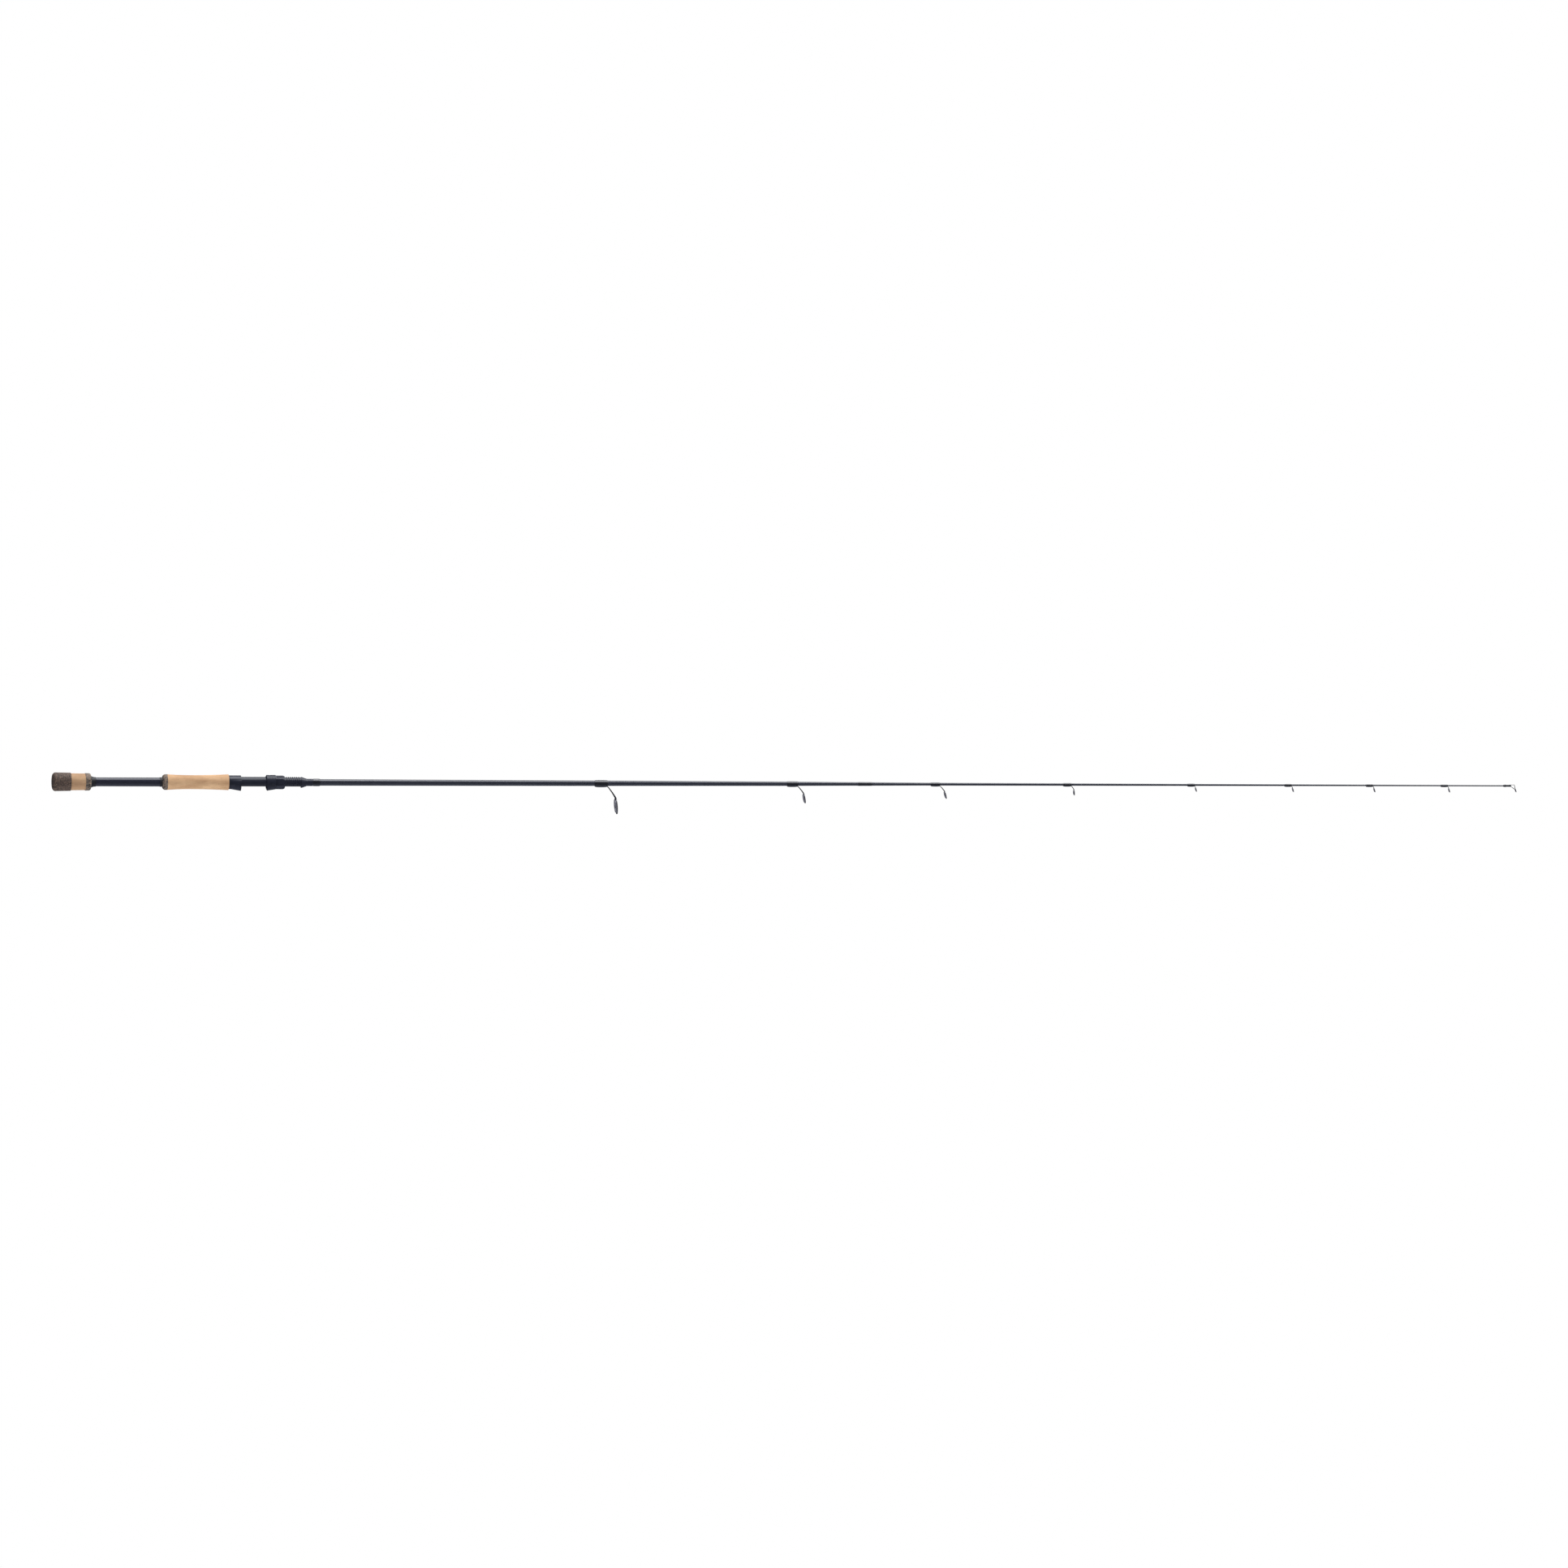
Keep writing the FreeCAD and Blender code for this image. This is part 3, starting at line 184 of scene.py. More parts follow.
def crumbs(tree, vector, scale, feature="F1"):
    """Crumbs with so many to the metre: the distance from each crumb's middle, and a value of its own."""
    node = tree.nodes.new("ShaderNodeTexVoronoi")
    node.feature = feature
    node.inputs["Scale"].default_value = scale
    tree.links.new(vector, node.inputs["Vector"])
    if feature == "DISTANCE_TO_EDGE":
        return node.outputs["Distance"], None
    own = tree.nodes.new("ShaderNodeSeparateColor")
    tree.links.new(node.outputs["Color"], own.inputs["Color"])
    return node.outputs["Distance"], own.outputs["Red"]


def wander(tree, vector, scale, reach):
    """Pushes coordinates about by soft noise, up to reach metres, so that crumbs get ragged outlines."""
    push = tree.nodes.new("ShaderNodeTexNoise")
    push.inputs["Scale"].default_value = scale
    push.inputs["Detail"].default_value = 3
    tree.links.new(vector, push.inputs["Vector"])
    scaled = tree.nodes.new("ShaderNodeVectorMath")
    scaled.operation = "MULTIPLY_ADD"
    tree.links.new(push.outputs["Color"], scaled.inputs[0])
    scaled.inputs[1].default_value = (2 * reach, 2 * reach, 2 * reach)
    tree.links.new(vector, scaled.inputs[2])
    return scaled.outputs["Vector"]


def ramp(tree, value, stops, interpolation="LINEAR"):
    """Colours a value from 0 to 1 by stops of (position, (red, green, blue))."""
    node = tree.nodes.new("ShaderNodeValToRGB")
    node.color_ramp.interpolation = interpolation
    while len(node.color_ramp.elements) < len(stops):
        node.color_ramp.elements.new(1.0)
    for element, (position, colour) in zip(node.color_ramp.elements, stops):
        element.position = position
        element.color = (*colour, 1)
    tree.links.new(value, node.inputs["Fac"])
    return node.outputs["Color"]


def levels(tree, value, low, high, to_low=0.0, to_high=1.0):
    """Spreads the part of a value between low and high over a new range."""
    node = tree.nodes.new("ShaderNodeMapRange")
    node.inputs["From Min"].default_value = low
    node.inputs["From Max"].default_value = high
    node.inputs["To Min"].default_value = to_low
    node.inputs["To Max"].default_value = to_high
    tree.links.new(value, node.inputs["Value"])
    return node.outputs["Result"]


def blend(tree, amount, under, over):
    """Lays one colour over another by an amount from 0 to 1, given as a number or an output."""
    node = tree.nodes.new("ShaderNodeMix")
    node.data_type = "RGBA"
    for value, key in ((amount, 0), (under, 6), (over, 7)):
        if isinstance(value, (int, float)):
            node.inputs[key].default_value = value
        elif isinstance(value, tuple):
            node.inputs[key].default_value = (*value, 1)
        else:
            tree.links.new(value, node.inputs[key])
    return node.outputs[2]


def relief(tree, shader, height, depth, under=None):
    """Raises the surface's bumps by a height from 0 to 1, over depth in millimetres."""
    node = tree.nodes.new("ShaderNodeBump")
    node.inputs["Distance"].default_value = depth * MM
    node.inputs["Strength"].default_value = 1.0
    tree.links.new(height, node.inputs["Height"])
    if under is not None:
        tree.links.new(under, node.inputs["Normal"])
    tree.links.new(node.outputs["Normal"], shader.inputs["Normal"])
    return node.outputs["Normal"]


rubber_cork, tree, shader = new_finish("rubberised_cork")
place = on_object(tree)
middle, own = crumbs(tree, wander(tree, place, 1500, 0.0005), 1000)
crumb_colour = ramp(tree, own, [
    (0.0, (0.042, 0.027, 0.021)), (0.22, (0.098, 0.062, 0.046)), (0.55, (0.135, 0.088, 0.066)),
    (0.80, (0.190, 0.124, 0.088)), (0.93, (0.290, 0.190, 0.125)),
], "CONSTANT")
dust = noise(tree, place, 2600, 3)
crumb_colour = blend(tree, levels(tree, dust, 0.35, 0.75, 0.0, 0.45), crumb_colour, (0.055, 0.042, 0.036))
tree.links.new(crumb_colour, shader.inputs["Base Color"])
tree.links.new(levels(tree, dust, 0.3, 0.7, 0.62, 0.86), shader.inputs["Roughness"])
relief(tree, shader, levels(tree, middle, 0.0, 0.7, 1.0, 0.0), 0.10)

CAP_REAR_D = 27.3
CAP_FRONT_D = 26.3
CAP_ROUNDING = 5.0
CAP_BORE_D = 10.4
CAP_FLOOR = 6.0
CAP_SIDES = 128
CAP_SIDE_STEPS = 26
CAP_ROUNDING_STEPS = 12
CAP_FACE_RINGS = 6
CAP_FACE_STEP = 1.2
CAP_LUMP = 0.9
CAP_LUMP_DEPTH = 0.16
cap_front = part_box("butt_cap")[1][0] / MM
stations = [(CAP_FLOOR, CAP_BORE_D / 2, 0), (cap_front, CAP_BORE_D / 2, 0)]
for step in range(CAP_SIDE_STEPS):
    part = step / CAP_SIDE_STEPS
    x = cap_front * (1 - part)
    if x > CAP_ROUNDING:
        stations.append((x, (CAP_FRONT_D + (CAP_REAR_D - CAP_FRONT_D) * part) / 2, 0))
for step in range(CAP_ROUNDING_STEPS + 1):
    turn = math.radians(90 * step / CAP_ROUNDING_STEPS)
    inward = CAP_ROUNDING * (1 - math.cos(turn))
    stations.append((CAP_ROUNDING * (1 - math.sin(turn)), CAP_REAR_D / 2 - inward, 0))
for ring in range(1, CAP_FACE_RINGS + 1):
    stations.append((0, CAP_REAR_D / 2 - CAP_ROUNDING - ring * CAP_FACE_STEP, 0))
butt_cap = turn_on_rod("butt_cap_skin", stations, CAP_SIDES)
roughen(butt_cap, CAP_LUMP, CAP_LUMP_DEPTH)
smooth(butt_cap)
fit(butt_cap, "butt_section", "rubberised_cork", rubber_cork, "butt_cap")

# --------------------------------------------------------------------------------------------------
# Cork rings. Natural cork of a good grade, punched out, bored, glued face to face over the blank,
# turned to one profile and sanded. Its pores show as short brown pits, and each ring has its own tone.

GRIP_RINGS = 7
BUTT_RINGS = 2
GRIP_LENGTH = 89.3
GRIP_RING_LENGTH = GRIP_LENGTH / GRIP_RINGS
GRIP_REAR_D = 22.6
GRIP_WAIST_D = 20.1
GRIP_WAIST_AT = 34.3
GRIP_FRONT_D = 22.9
BUTT_CORK_REAR_D = 24.6
BUTT_CORK_FRONT_D = 24.0
CORK_BORE_D = 10.45
CORK_SIDES = 144
CORK_STEPS = 24
CORK_LUMP = 1.1
CORK_LUMP_DEPTH = 0.10
JOINT_DIP = 0.06
PORE_BROWN = (0.13, 0.065, 0.032)
FLECK_BROWN = (0.20, 0.105, 0.055)


def natural_cork(name, light, mid, dark, shift):
    """Sanded cork: warm drifts of tone, fine grain, and brown pores a few millimetres long."""
    finish, tree, shader = new_finish(name)
    place = on_object(tree)
    drift = noise(tree, on_object(tree, (28, 120, 120)), 1.0, 5, 0.6)
    colour = ramp(tree, drift, [(0.30, dark), (0.46, mid), (0.66, light)])
    ring = tree.nodes.new("ShaderNodeSeparateXYZ")
    tree.links.new(place, ring.inputs["Vector"])
    count = levels(tree, ring.outputs["X"], shift * MM, (shift + GRIP_RING_LENGTH) * MM, 0.0, 1.0)
    count.node.clamp = False
    whole = tree.nodes.new("ShaderNodeMath")
    whole.operation = "FLOOR"
    tree.links.new(count, whole.inputs[0])
    tone = tree.nodes.new("ShaderNodeTexWhiteNoise")
    tone.noise_dimensions = "1D"
    tree.links.new(whole.outputs[0], tone.inputs["W"])
    colour = blend(tree, levels(tree, tone.outputs["Value"], 0, 1, 0.0, 0.30), colour, mid)
    colour = blend(tree, levels(tree, tone.outputs["Value"], 0.5, 1, 0.0, 0.16), colour, dark)
    grain = noise(tree, place, 1500, 5, 0.7)
    colour = blend(tree, levels(tree, grain, 0.3, 0.7, 0.0, 0.30), colour, dark)
    pores = noise(tree, on_object(tree, (260, 620, 620)), 1.0, 2, 0.5)
    pore = levels(tree, pores, 0.30, 0.22, 0.0, 0.85)
    colour = blend(tree, pore, colour, PORE_BROWN)
    flecks = noise(tree, on_object(tree, (900, 420, 420)), 1.0, 2, 0.5)
    colour = blend(tree, levels(tree, flecks, 0.29, 0.22, 0.0, 0.6), colour, FLECK_BROWN)
    tree.links.new(colour, shader.inputs["Base Color"])
    tree.links.new(levels(tree, grain, 0.3, 0.7, 0.66, 0.84), shader.inputs["Roughness"])
    shader.inputs["Specular IOR Level"].default_value = 0.3
    lower = relief(tree, shader, levels(tree, pores, 0.31, 0.22, 1.0, 0.0), 0.22)
    relief(tree, shader, grain, 0.05, lower)
    return finish


def cork_ring(node, profile, finish):
    """One ring between its glued faces, its outside following profile(x), with a faint dip at each joint."""
    low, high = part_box(node)
    rear, front = low[0] / MM, high[0] / MM
    outside = []
    for step in range(CORK_STEPS + 1):
        x = rear + (front - rear) * step / CORK_STEPS
        dip = JOINT_DIP if step in (0, CORK_STEPS) else 0.0
        outside.append((x, profile(x) - dip, 0))
    bore = CORK_BORE_D / 2
    closed = outside + [(front, bore, 0), (rear, bore, 0), outside[0]]
    ring = turn_on_rod(node + "_skin", closed, CORK_SIDES)
    roughen(ring, CORK_LUMP, CORK_LUMP_DEPTH)
    smooth(ring, 50)
    fit(ring, "butt_section", "cork", finish, node)


grip_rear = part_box("grip_cork_ring_1")[0][0] / MM
butt_cork_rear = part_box("butt_cork_ring_1")[0][0] / MM
butt_cork_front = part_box("butt_cork_ring_2")[1][0] / MM


def grip_profile(x):
    """Radius of the main grip: it swells from its waist to both ends."""
    past_waist = x - grip_rear - GRIP_WAIST_AT
    if past_waist < 0:
        part, end_d = past_waist / GRIP_WAIST_AT, GRIP_REAR_D
    else:
        part, end_d = past_waist / (GRIP_LENGTH - GRIP_WAIST_AT), GRIP_FRONT_D
    return (GRIP_WAIST_D + (end_d - GRIP_WAIST_D) * part * part) / 2


def butt_profile(x):
    """Radius of the butt grip's cork: a slight taper."""
    part = (x - butt_cork_rear) / (butt_cork_front - butt_cork_rear)
    return (BUTT_CORK_REAR_D + (BUTT_CORK_FRONT_D - BUTT_CORK_REAR_D) * part) / 2


grip_tones = ((0.80, 0.52, 0.29), (0.65, 0.395, 0.213), (0.49, 0.275, 0.14))
butt_tones = ((0.65, 0.42, 0.236), (0.53, 0.32, 0.18), (0.39, 0.225, 0.12))
grip_cork = natural_cork("grip_cork", *grip_tones, grip_rear)
butt_cork = natural_cork("butt_cork", *butt_tones, butt_cork_rear)
for number in range(1, GRIP_RINGS + 1):
    cork_ring("grip_cork_ring_%d" % number, grip_profile, grip_cork)
for number in range(1, BUTT_RINGS + 1):
    cork_ring("butt_cork_ring_%d" % number, butt_profile, butt_cork)

# --------------------------------------------------------------------------------------------------
# Burl rings. Composite cork: coarse crumbs of pale, brown and grey-green cork pressed with glue into
# a harder ring that guards the end of each grip. The outer edge is sanded round.

BUTT_BURL_D = 25.2
BUTT_BURL_ROUNDING = 3.4
GRIP_BURL_D = 22.6
GRIP_BURL_ROUNDING = 4.4
BURL_SIDES = 128
BURL_STEPS = 16
BURL_LUMP = 1.6
BURL_LUMP_DEPTH = 0.14
BURL_CRUMBS = 480

burl_cork, tree, shader = new_finish("burl_cork")
place = on_object(tree)
place = wander(tree, place, 700, 0.0011)
_, own = crumbs(tree, place, BURL_CRUMBS)
crumb_colour = ramp(tree, own, [
    (0.0, (0.050, 0.036, 0.028)), (0.14, (0.150, 0.105, 0.078)), (0.34, (0.250, 0.185, 0.140)),
    (0.55, (0.190, 0.160, 0.125)), (0.72, (0.330, 0.235, 0.160)), (0.88, (0.110, 0.098, 0.085)),
], "CONSTANT")
edge, _ = crumbs(tree, place, BURL_CRUMBS, "DISTANCE_TO_EDGE")
crumb_colour = blend(tree, levels(tree, edge, 0.0, 0.08, 0.45, 0.0), crumb_colour, (0.070, 0.050, 0.040))
dust = noise(tree, place, 2200, 4, 0.65)
crumb_colour = blend(tree, levels(tree, dust, 0.35, 0.7, 0.0, 0.4), crumb_colour, (0.115, 0.085, 0.068))
tree.links.new(crumb_colour, shader.inputs["Base Color"])
tree.links.new(levels(tree, dust, 0.3, 0.7, 0.6, 0.8), shader.inputs["Roughness"])
relief(tree, shader, levels(tree, edge, 0.0, 0.12), 0.05)


def burl_ring(node, radius, rounding, rounded_end):
    """A ring of composite cork whose rim is sanded round at its rear or its front."""
    low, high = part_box(node)
    rear, front = low[0] / MM, high[0] / MM
    outside = []
    for step in range(BURL_STEPS + 1):
        x = rear + (front - rear) * step / BURL_STEPS
        from_end = x - rear if rounded_end == "rear" else front - x
        inward = max(rounding - from_end, 0.0)
        outside.append((x, radius - rounding + math.sqrt(max(rounding**2 - inward**2, 0.0)), 0))
    bore = CORK_BORE_D / 2
    closed = outside + [(front, bore, 0), (rear, bore, 0), outside[0]]
    ring = turn_on_rod(node + "_skin", closed, BURL_SIDES)
    roughen(ring, BURL_LUMP, BURL_LUMP_DEPTH)
    smooth(ring, 50)
    fit(ring, "butt_section", "burl_cork", burl_cork, node)


burl_ring("butt_burl_ring", BUTT_BURL_D / 2, BUTT_BURL_ROUNDING, "front")
burl_ring("grip_burl_ring", GRIP_BURL_D / 2, GRIP_BURL_ROUNDING, "rear")

# --------------------------------------------------------------------------------------------------
# Handle tube. A sleeve of graphite over the blank between the two grips, painted satin black with a
# blue cast.


def dress(names, finish):
    """Gives nodes that keep their own shape a finish."""
    for name in names:
        nodes[name].data.materials.clear()
        nodes[name].data.materials.append(finish)


tube_paint, tree, shader = new_finish("tube_paint")
place = on_object(tree)
haze = noise(tree, on_object(tree, (60, 300, 300)), 1.0, 4)
tree.links.new(ramp(tree, haze, [(0.35, (0.0150, 0.0158, 0.0290)), (0.65, (0.0190, 0.0200, 0.0350))]),
               shader.inputs["Base Color"])
scuffs = noise(tree, on_object(tree, (180, 1600, 1600)), 1.0, 5, 0.7)
tree.links.new(levels(tree, scuffs, 0.3, 0.75, 0.27, 0.40), shader.inputs["Roughness"])
shader.inputs["Coat Weight"].default_value = 0.35
shader.inputs["Coat Roughness"].default_value = 0.2
relief(tree, shader, noise(tree, place, 2400, 3), 0.008)
dress(["handle_tube"], tube_paint)

# --------------------------------------------------------------------------------------------------
# Checks. Soft black rubber rings pushed along the tube until they cover the end faces of the two grips.

check_rubber, tree, shader = new_finish("check_rubber")
place = on_object(tree)
dust = noise(tree, place, 900, 5, 0.6)
tree.links.new(ramp(tree, dust, [(0.3, (0.011, 0.011, 0.013)), (0.8, (0.026, 0.026, 0.029))]),
               shader.inputs["Base Color"])
tree.links.new(levels(tree, dust, 0.3, 0.75, 0.42, 0.62), shader.inputs["Roughness"])
relief(tree, shader, noise(tree, place, 3000, 2), 0.012)

CHECK_BORE_D = 13.0
CHECK_REAR_D = 17.6
CHECK_FRONT_D = 13.9
CHECK_RIM = 0.35
FLARE_POWER = 2.6
FLARE_STEPS = 24
HANDLE_CHECK_D = 13.8
HANDLE_CHECK_RIM = 0.3
low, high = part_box("butt_check")
rear, front = low[0] / MM, high[0] / MM
flare = []
for step in range(FLARE_STEPS + 1):
    part = step / FLARE_STEPS
    diameter = CHECK_FRONT_D + (CHECK_REAR_D - CHECK_FRONT_D) * (1 - part) ** FLARE_POWER
    flare.append((rear + (front - rear) * part, diameter / 2, 0))
bore = CHECK_BORE_D / 2
butt_check = turn_on_rod("butt_check_skin", flare + [(front, bore, 0), (rear, bore, 0), flare[0]], 96)
round_rim(butt_check, rear, CHECK_REAR_D / 2, CHECK_RIM)
smooth(butt_check, 40)
fit(butt_check, "butt_section", "check_rubber", check_rubber, "butt_check")

low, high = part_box("handle_check")
rear, front = low[0] / MM, high[0] / MM
outer = HANDLE_CHECK_D / 2
face = outer - HANDLE_CHECK_RIM
bead = [(rear, face, 0), (rear, outer, 0), (front, outer, 0), (front, bore, 0), (rear, bore, 0)]
handle_check = turn_on_rod("handle_check_skin", bead + bead[:1], 96)
round_rim(handle_check, rear, HANDLE_CHECK_D / 2, HANDLE_CHECK_RIM)
smooth(handle_check, 40)
fit(handle_check, "butt_section", "check_rubber", check_rubber, "handle_check")

# --------------------------------------------------------------------------------------------------
# Reel seat. Glass-filled nylon mouldings: a barrel with a coarse thread, a hood glued at its rear, a
# hood that slides, and a nut that drives it. Foam arbors centre the seat on the blank. The mould gives
# a fine satin grain.

MOULD_WELD = 0.004
FLAT_ENOUGH = 1.0
EDGE_SEGMENTS = 3
HOOD_EDGE = 28
NUT_EDGE = 24


def copy_of(node, weld):
    """A copy of the node's shape as a piece of its own, its corners welded, left open for editing."""
    deselect()
    piece = bpy.data.objects.new(node + "_skin", nodes[node].data.copy())
    piece.data.name = piece.name
    bpy.context.scene.collection.objects.link(piece)
    piece.select_set(True)
    bpy.context.view_layer.objects.active = piece
    bpy.ops.object.mode_set(mode="EDIT")
    bpy.ops.mesh.select_all(action="SELECT")
    bpy.ops.mesh.remove_doubles(threshold=weld * MM)
    return piece


def moulded_copy(node, body, rounding, sharp=HOOD_EDGE):
    """The node's shape with its edges rounded over where they are sharper than an angle in degrees."""
    piece = copy_of(node, MOULD_WELD)
    bpy.ops.mesh.dissolve_degenerate(threshold=MOULD_WELD * MM)
    bpy.ops.mesh.dissolve_limited(angle_limit=math.radians(FLAT_ENOUGH))
    bpy.ops.object.mode_set(mode="OBJECT")
    soften = piece.modifiers.new("rounding", "BEVEL")
    soften.width = rounding * MM
    soften.segments = EDGE_SEGMENTS
    soften.limit_method = "ANGLE"
    soften.angle_limit = math.radians(sharp)
    soften.harden_normals = False
    bpy.ops.object.modifier_apply(modifier=soften.name)
    smooth(piece, 30)
    fit(piece, body, "seat_nylon", seat_nylon, node)


seat_nylon, tree, shader = new_finish("seat_nylon")
place = on_object(tree)
drift = noise(tree, place, 90, 4)
tree.links.new(ramp(tree, drift, [(0.35, (0.0125, 0.0140, 0.0255)), (0.65, (0.0160, 0.0178, 0.0310))]),
               shader.inputs["Base Color"])
grain = noise(tree, place, 3400, 3, 0.6)
rubbed = noise(tree, on_object(tree, (120, 500, 500)), 1.0, 5, 0.65)
grain_rough = levels(tree, grain, 0.3, 0.7, 0.30, 0.44)
rough = blend(tree, 0.5, grain_rough, levels(tree, rubbed, 0.3, 0.7, 0.30, 0.46))
tree.links.new(rough, shader.inputs["Roughness"])
relief(tree, shader, grain, 0.018)
dress(["seat_barrel"], seat_nylon)
moulded_copy("fixed_hood", "butt_section", 0.22)
moulded_copy("movable_hood", "movable_hood", 0.20)
moulded_copy("lock_nut", "lock_nut", 0.25, NUT_EDGE)

arbor_foam, tree, shader = new_finish("arbor_foam")
place = on_object(tree)
cells, own = crumbs(tree, place, 2600)
tree.links.new(ramp(tree, own, [(0.0, (0.20, 0.19, 0.17)), (1.0, (0.34, 0.32, 0.29))]),
               shader.inputs["Base Color"])
shader.inputs["Roughness"].default_value = 0.9
relief(tree, shader, cells, 0.08)
dress(["seat_arbor_rear", "seat_arbor_front"], arbor_foam)

# --------------------------------------------------------------------------------------------------
# Blank. Graphite cloth rolled on a tapered mandrel, baked under shrink tape, which leaves a faint
# ripple, then dipped in a clear coat. The tip section slips over the butt section at the ferrule.

TAPE_BANDS = 75

graphite, tree, shader = new_finish("graphite_blank")
place = on_object(tree)
drift = noise(tree, on_object(tree, (30, 260, 260)), 1.0, 4)
colour = ramp(tree, drift, [(0.35, (0.0175, 0.0195, 0.0310)), (0.65, (0.0225, 0.0245, 0.0370))])
fibre = noise(tree, on_object(tree, (70, 5200, 5200)), 1.0, 3, 0.6)
colour = blend(tree, levels(tree, fibre, 0.40, 0.75, 0.0, 0.40), colour, (0.050, 0.053, 0.068))
tree.links.new(colour, shader.inputs["Base Color"])
tree.links.new(levels(tree, fibre, 0.3, 0.7, 0.30, 0.42), shader.inputs["Roughness"])
shader.inputs["Coat Weight"].default_value = 0.8
shader.inputs["Coat Roughness"].default_value = 0.10
tape = tree.nodes.new("ShaderNodeTexWave")
tape.wave_type = "BANDS"
tape.bands_direction = "X"
tape.inputs["Scale"].default_value = TAPE_BANDS
tape.inputs["Distortion"].default_value = 0.0
tree.links.new(on_object(tree, (1, 0.35, 0.35)), tape.inputs["Vector"])
relief(tree, shader, tape.outputs["Fac"], 0.006)
dress(["butt_blank", "tip_blank"], graphite)


BUTT_OUTSIDE = ((6.0, 5.2), (379.5, 4.75), (752.0, 4.1), (1060.0, 3.2), (1172.0, 2.575))
TIP_OUTSIDE = ((1173.0, 2.65), (1225.0, 2.325), (1273.0, 2.075), (1675.0, 1.425), (2126.7, 0.9))


def radius_at(stations, x):
    """Radius of a blank at x, between its stations."""
    for (rear, rear_radius), (front, front_radius) in zip(stations, stations[1:]):
        if x <= front:
            return rear_radius + (front_radius - rear_radius) * max(x - rear, 0) / max(front - rear, 1e-6)
    return stations[-1][1]


# --------------------------------------------------------------------------------------------------
# Thread wraps. Black nylon thread wound side by side over the blank and over each guide's foot, then
# covered by two coats of epoxy, which dome over the thread and thin out to a bead at both ends.

THREAD_BANDS = 1061.03
WRAP_SIDES = 72
WRAP_STEP = 0.45
MIN_WRAP_STEPS = 14
EDGE_BUILD = 0.06

wrap_epoxy, tree, shader = new_finish("wrap_epoxy")
place = on_object(tree)
turns = tree.nodes.new("ShaderNodeTexWave")
turns.wave_type = "BANDS"
turns.bands_direction = "X"
turns.inputs["Scale"].default_value = THREAD_BANDS
turns.inputs["Distortion"].default_value = 0.0
tree.links.new(place, turns.inputs["Vector"])
colour = ramp(tree, turns.outputs["Fac"], [(0.1, (0.0030, 0.0030, 0.0055)), (0.9, (0.0080, 0.0083, 0.0130))])
uneven = noise(tree, place, 420, 3)
colour = blend(tree, levels(tree, uneven, 0.4, 0.8, 0.0, 0.35), colour, (0.007, 0.007, 0.012))
tree.links.new(colour, shader.inputs["Base Color"])
shader.inputs["Roughness"].default_value = 0.5
shader.inputs["Coat Weight"].default_value = 1.0
shader.inputs["Coat Roughness"].default_value = 0.05
shader.inputs["Coat IOR"].default_value = 1.55
relief(tree, shader, noise(tree, on_object(tree, (220, 320, 320)), 1.0, 1), 0.05)


def thread_wrap(node, body, blank, below, above, fullness=3.0):
    """A dome of epoxy over the blank that stands below and above it by those heights in millimetres."""
    low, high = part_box(node)
    rear, front = low[0] / MM, high[0] / MM
    steps = max(int((front - rear) / WRAP_STEP), MIN_WRAP_STEPS)
    outside = []
    for step in range(steps + 1):
        across = 1 - math.cos(math.pi * step / steps)
        x = rear + (front - rear) * across / 2
        dome = (1 - abs(across - 1) ** fullness) ** (1 / fullness)
        dome = EDGE_BUILD + (1 - EDGE_BUILD) * dome
        radius = radius_at(blank, x) + (below + above) / 2 * dome
        outside.append((x, radius, (below - above) / 2 * dome))
    inside = [(x, radius_at(blank, x), 0) for x in (front, (rear + front) / 2, rear)]
    wrap = turn_on_rod(node + "_skin", outside + inside + [outside[0]], WRAP_SIDES)
    smooth(wrap, 60)
    fit(wrap, body, "wrap_epoxy", wrap_epoxy, node)


thread_wrap("trim_wrap", "butt_section", BUTT_OUTSIDE, 0.65, 0.65, 5.0)
thread_wrap("ferrule_wrap", "tip_section", TIP_OUTSIDE, 0.22, 0.22, 6.0)

GUIDES = 8
BUTT_GUIDES = 2
GUIDE_BUILD = {1: (1.9, 0.7), 2: (1.6, 0.5), 3: (1.4, 0.45), 4: (1.3, 0.45)}
RUNNER_BUILD = (1.2, 0.45)


def under_guide(number):
    """The body that carries a guide, and the outside of its blank."""
    return ("butt_section", BUTT_OUTSIDE) if number <= BUTT_GUIDES else ("tip_section", TIP_OUTSIDE)


for number in range(1, GUIDES + 1):
    thread_wrap("guide_%d_wrap" % number, *under_guide(number), *GUIDE_BUILD.get(number, RUNNER_BUILD))

# The tip-top's wrap is a short bead that runs from the blank up on to the tube.
TIP_TUBE_D = 2.9
BEAD_SIDES = 48
BEAD_STEPS = 16
BEAD_BUILD = 0.5
BEAD_EDGE = 0.04
BEAD_FULLNESS = 0.7
low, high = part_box("tip_top_wrap")
rear, front = low[0] / MM, high[0] / MM
tip_bore = radius_at(TIP_OUTSIDE, rear)
bead = []
for step in range(BEAD_STEPS + 1):
    part = step / BEAD_STEPS
    under = tip_bore * (1 - part) + TIP_TUBE_D / 2 * part
    dome = BEAD_BUILD * math.sin(math.pi * part) ** BEAD_FULLNESS
    bead.append((rear + (front - rear) * part, under + dome + BEAD_EDGE, 0))
closed = bead + [(front, tip_bore, 0), (rear, tip_bore, 0), bead[0]]
tip_top_wrap = turn_on_rod("tip_top_wrap_skin", closed, BEAD_SIDES)
smooth(tip_top_wrap, 60)
fit(tip_top_wrap, "tip_section", "wrap_epoxy", wrap_epoxy, "tip_top_wrap")

# --------------------------------------------------------------------------------------------------
# Guides and tip-top. Frames stamped from stainless strip, bent, tumbled until their edges are round,
# and plated black. A polished ceramic ring is glued in each hoop, its lips proud on both sides.

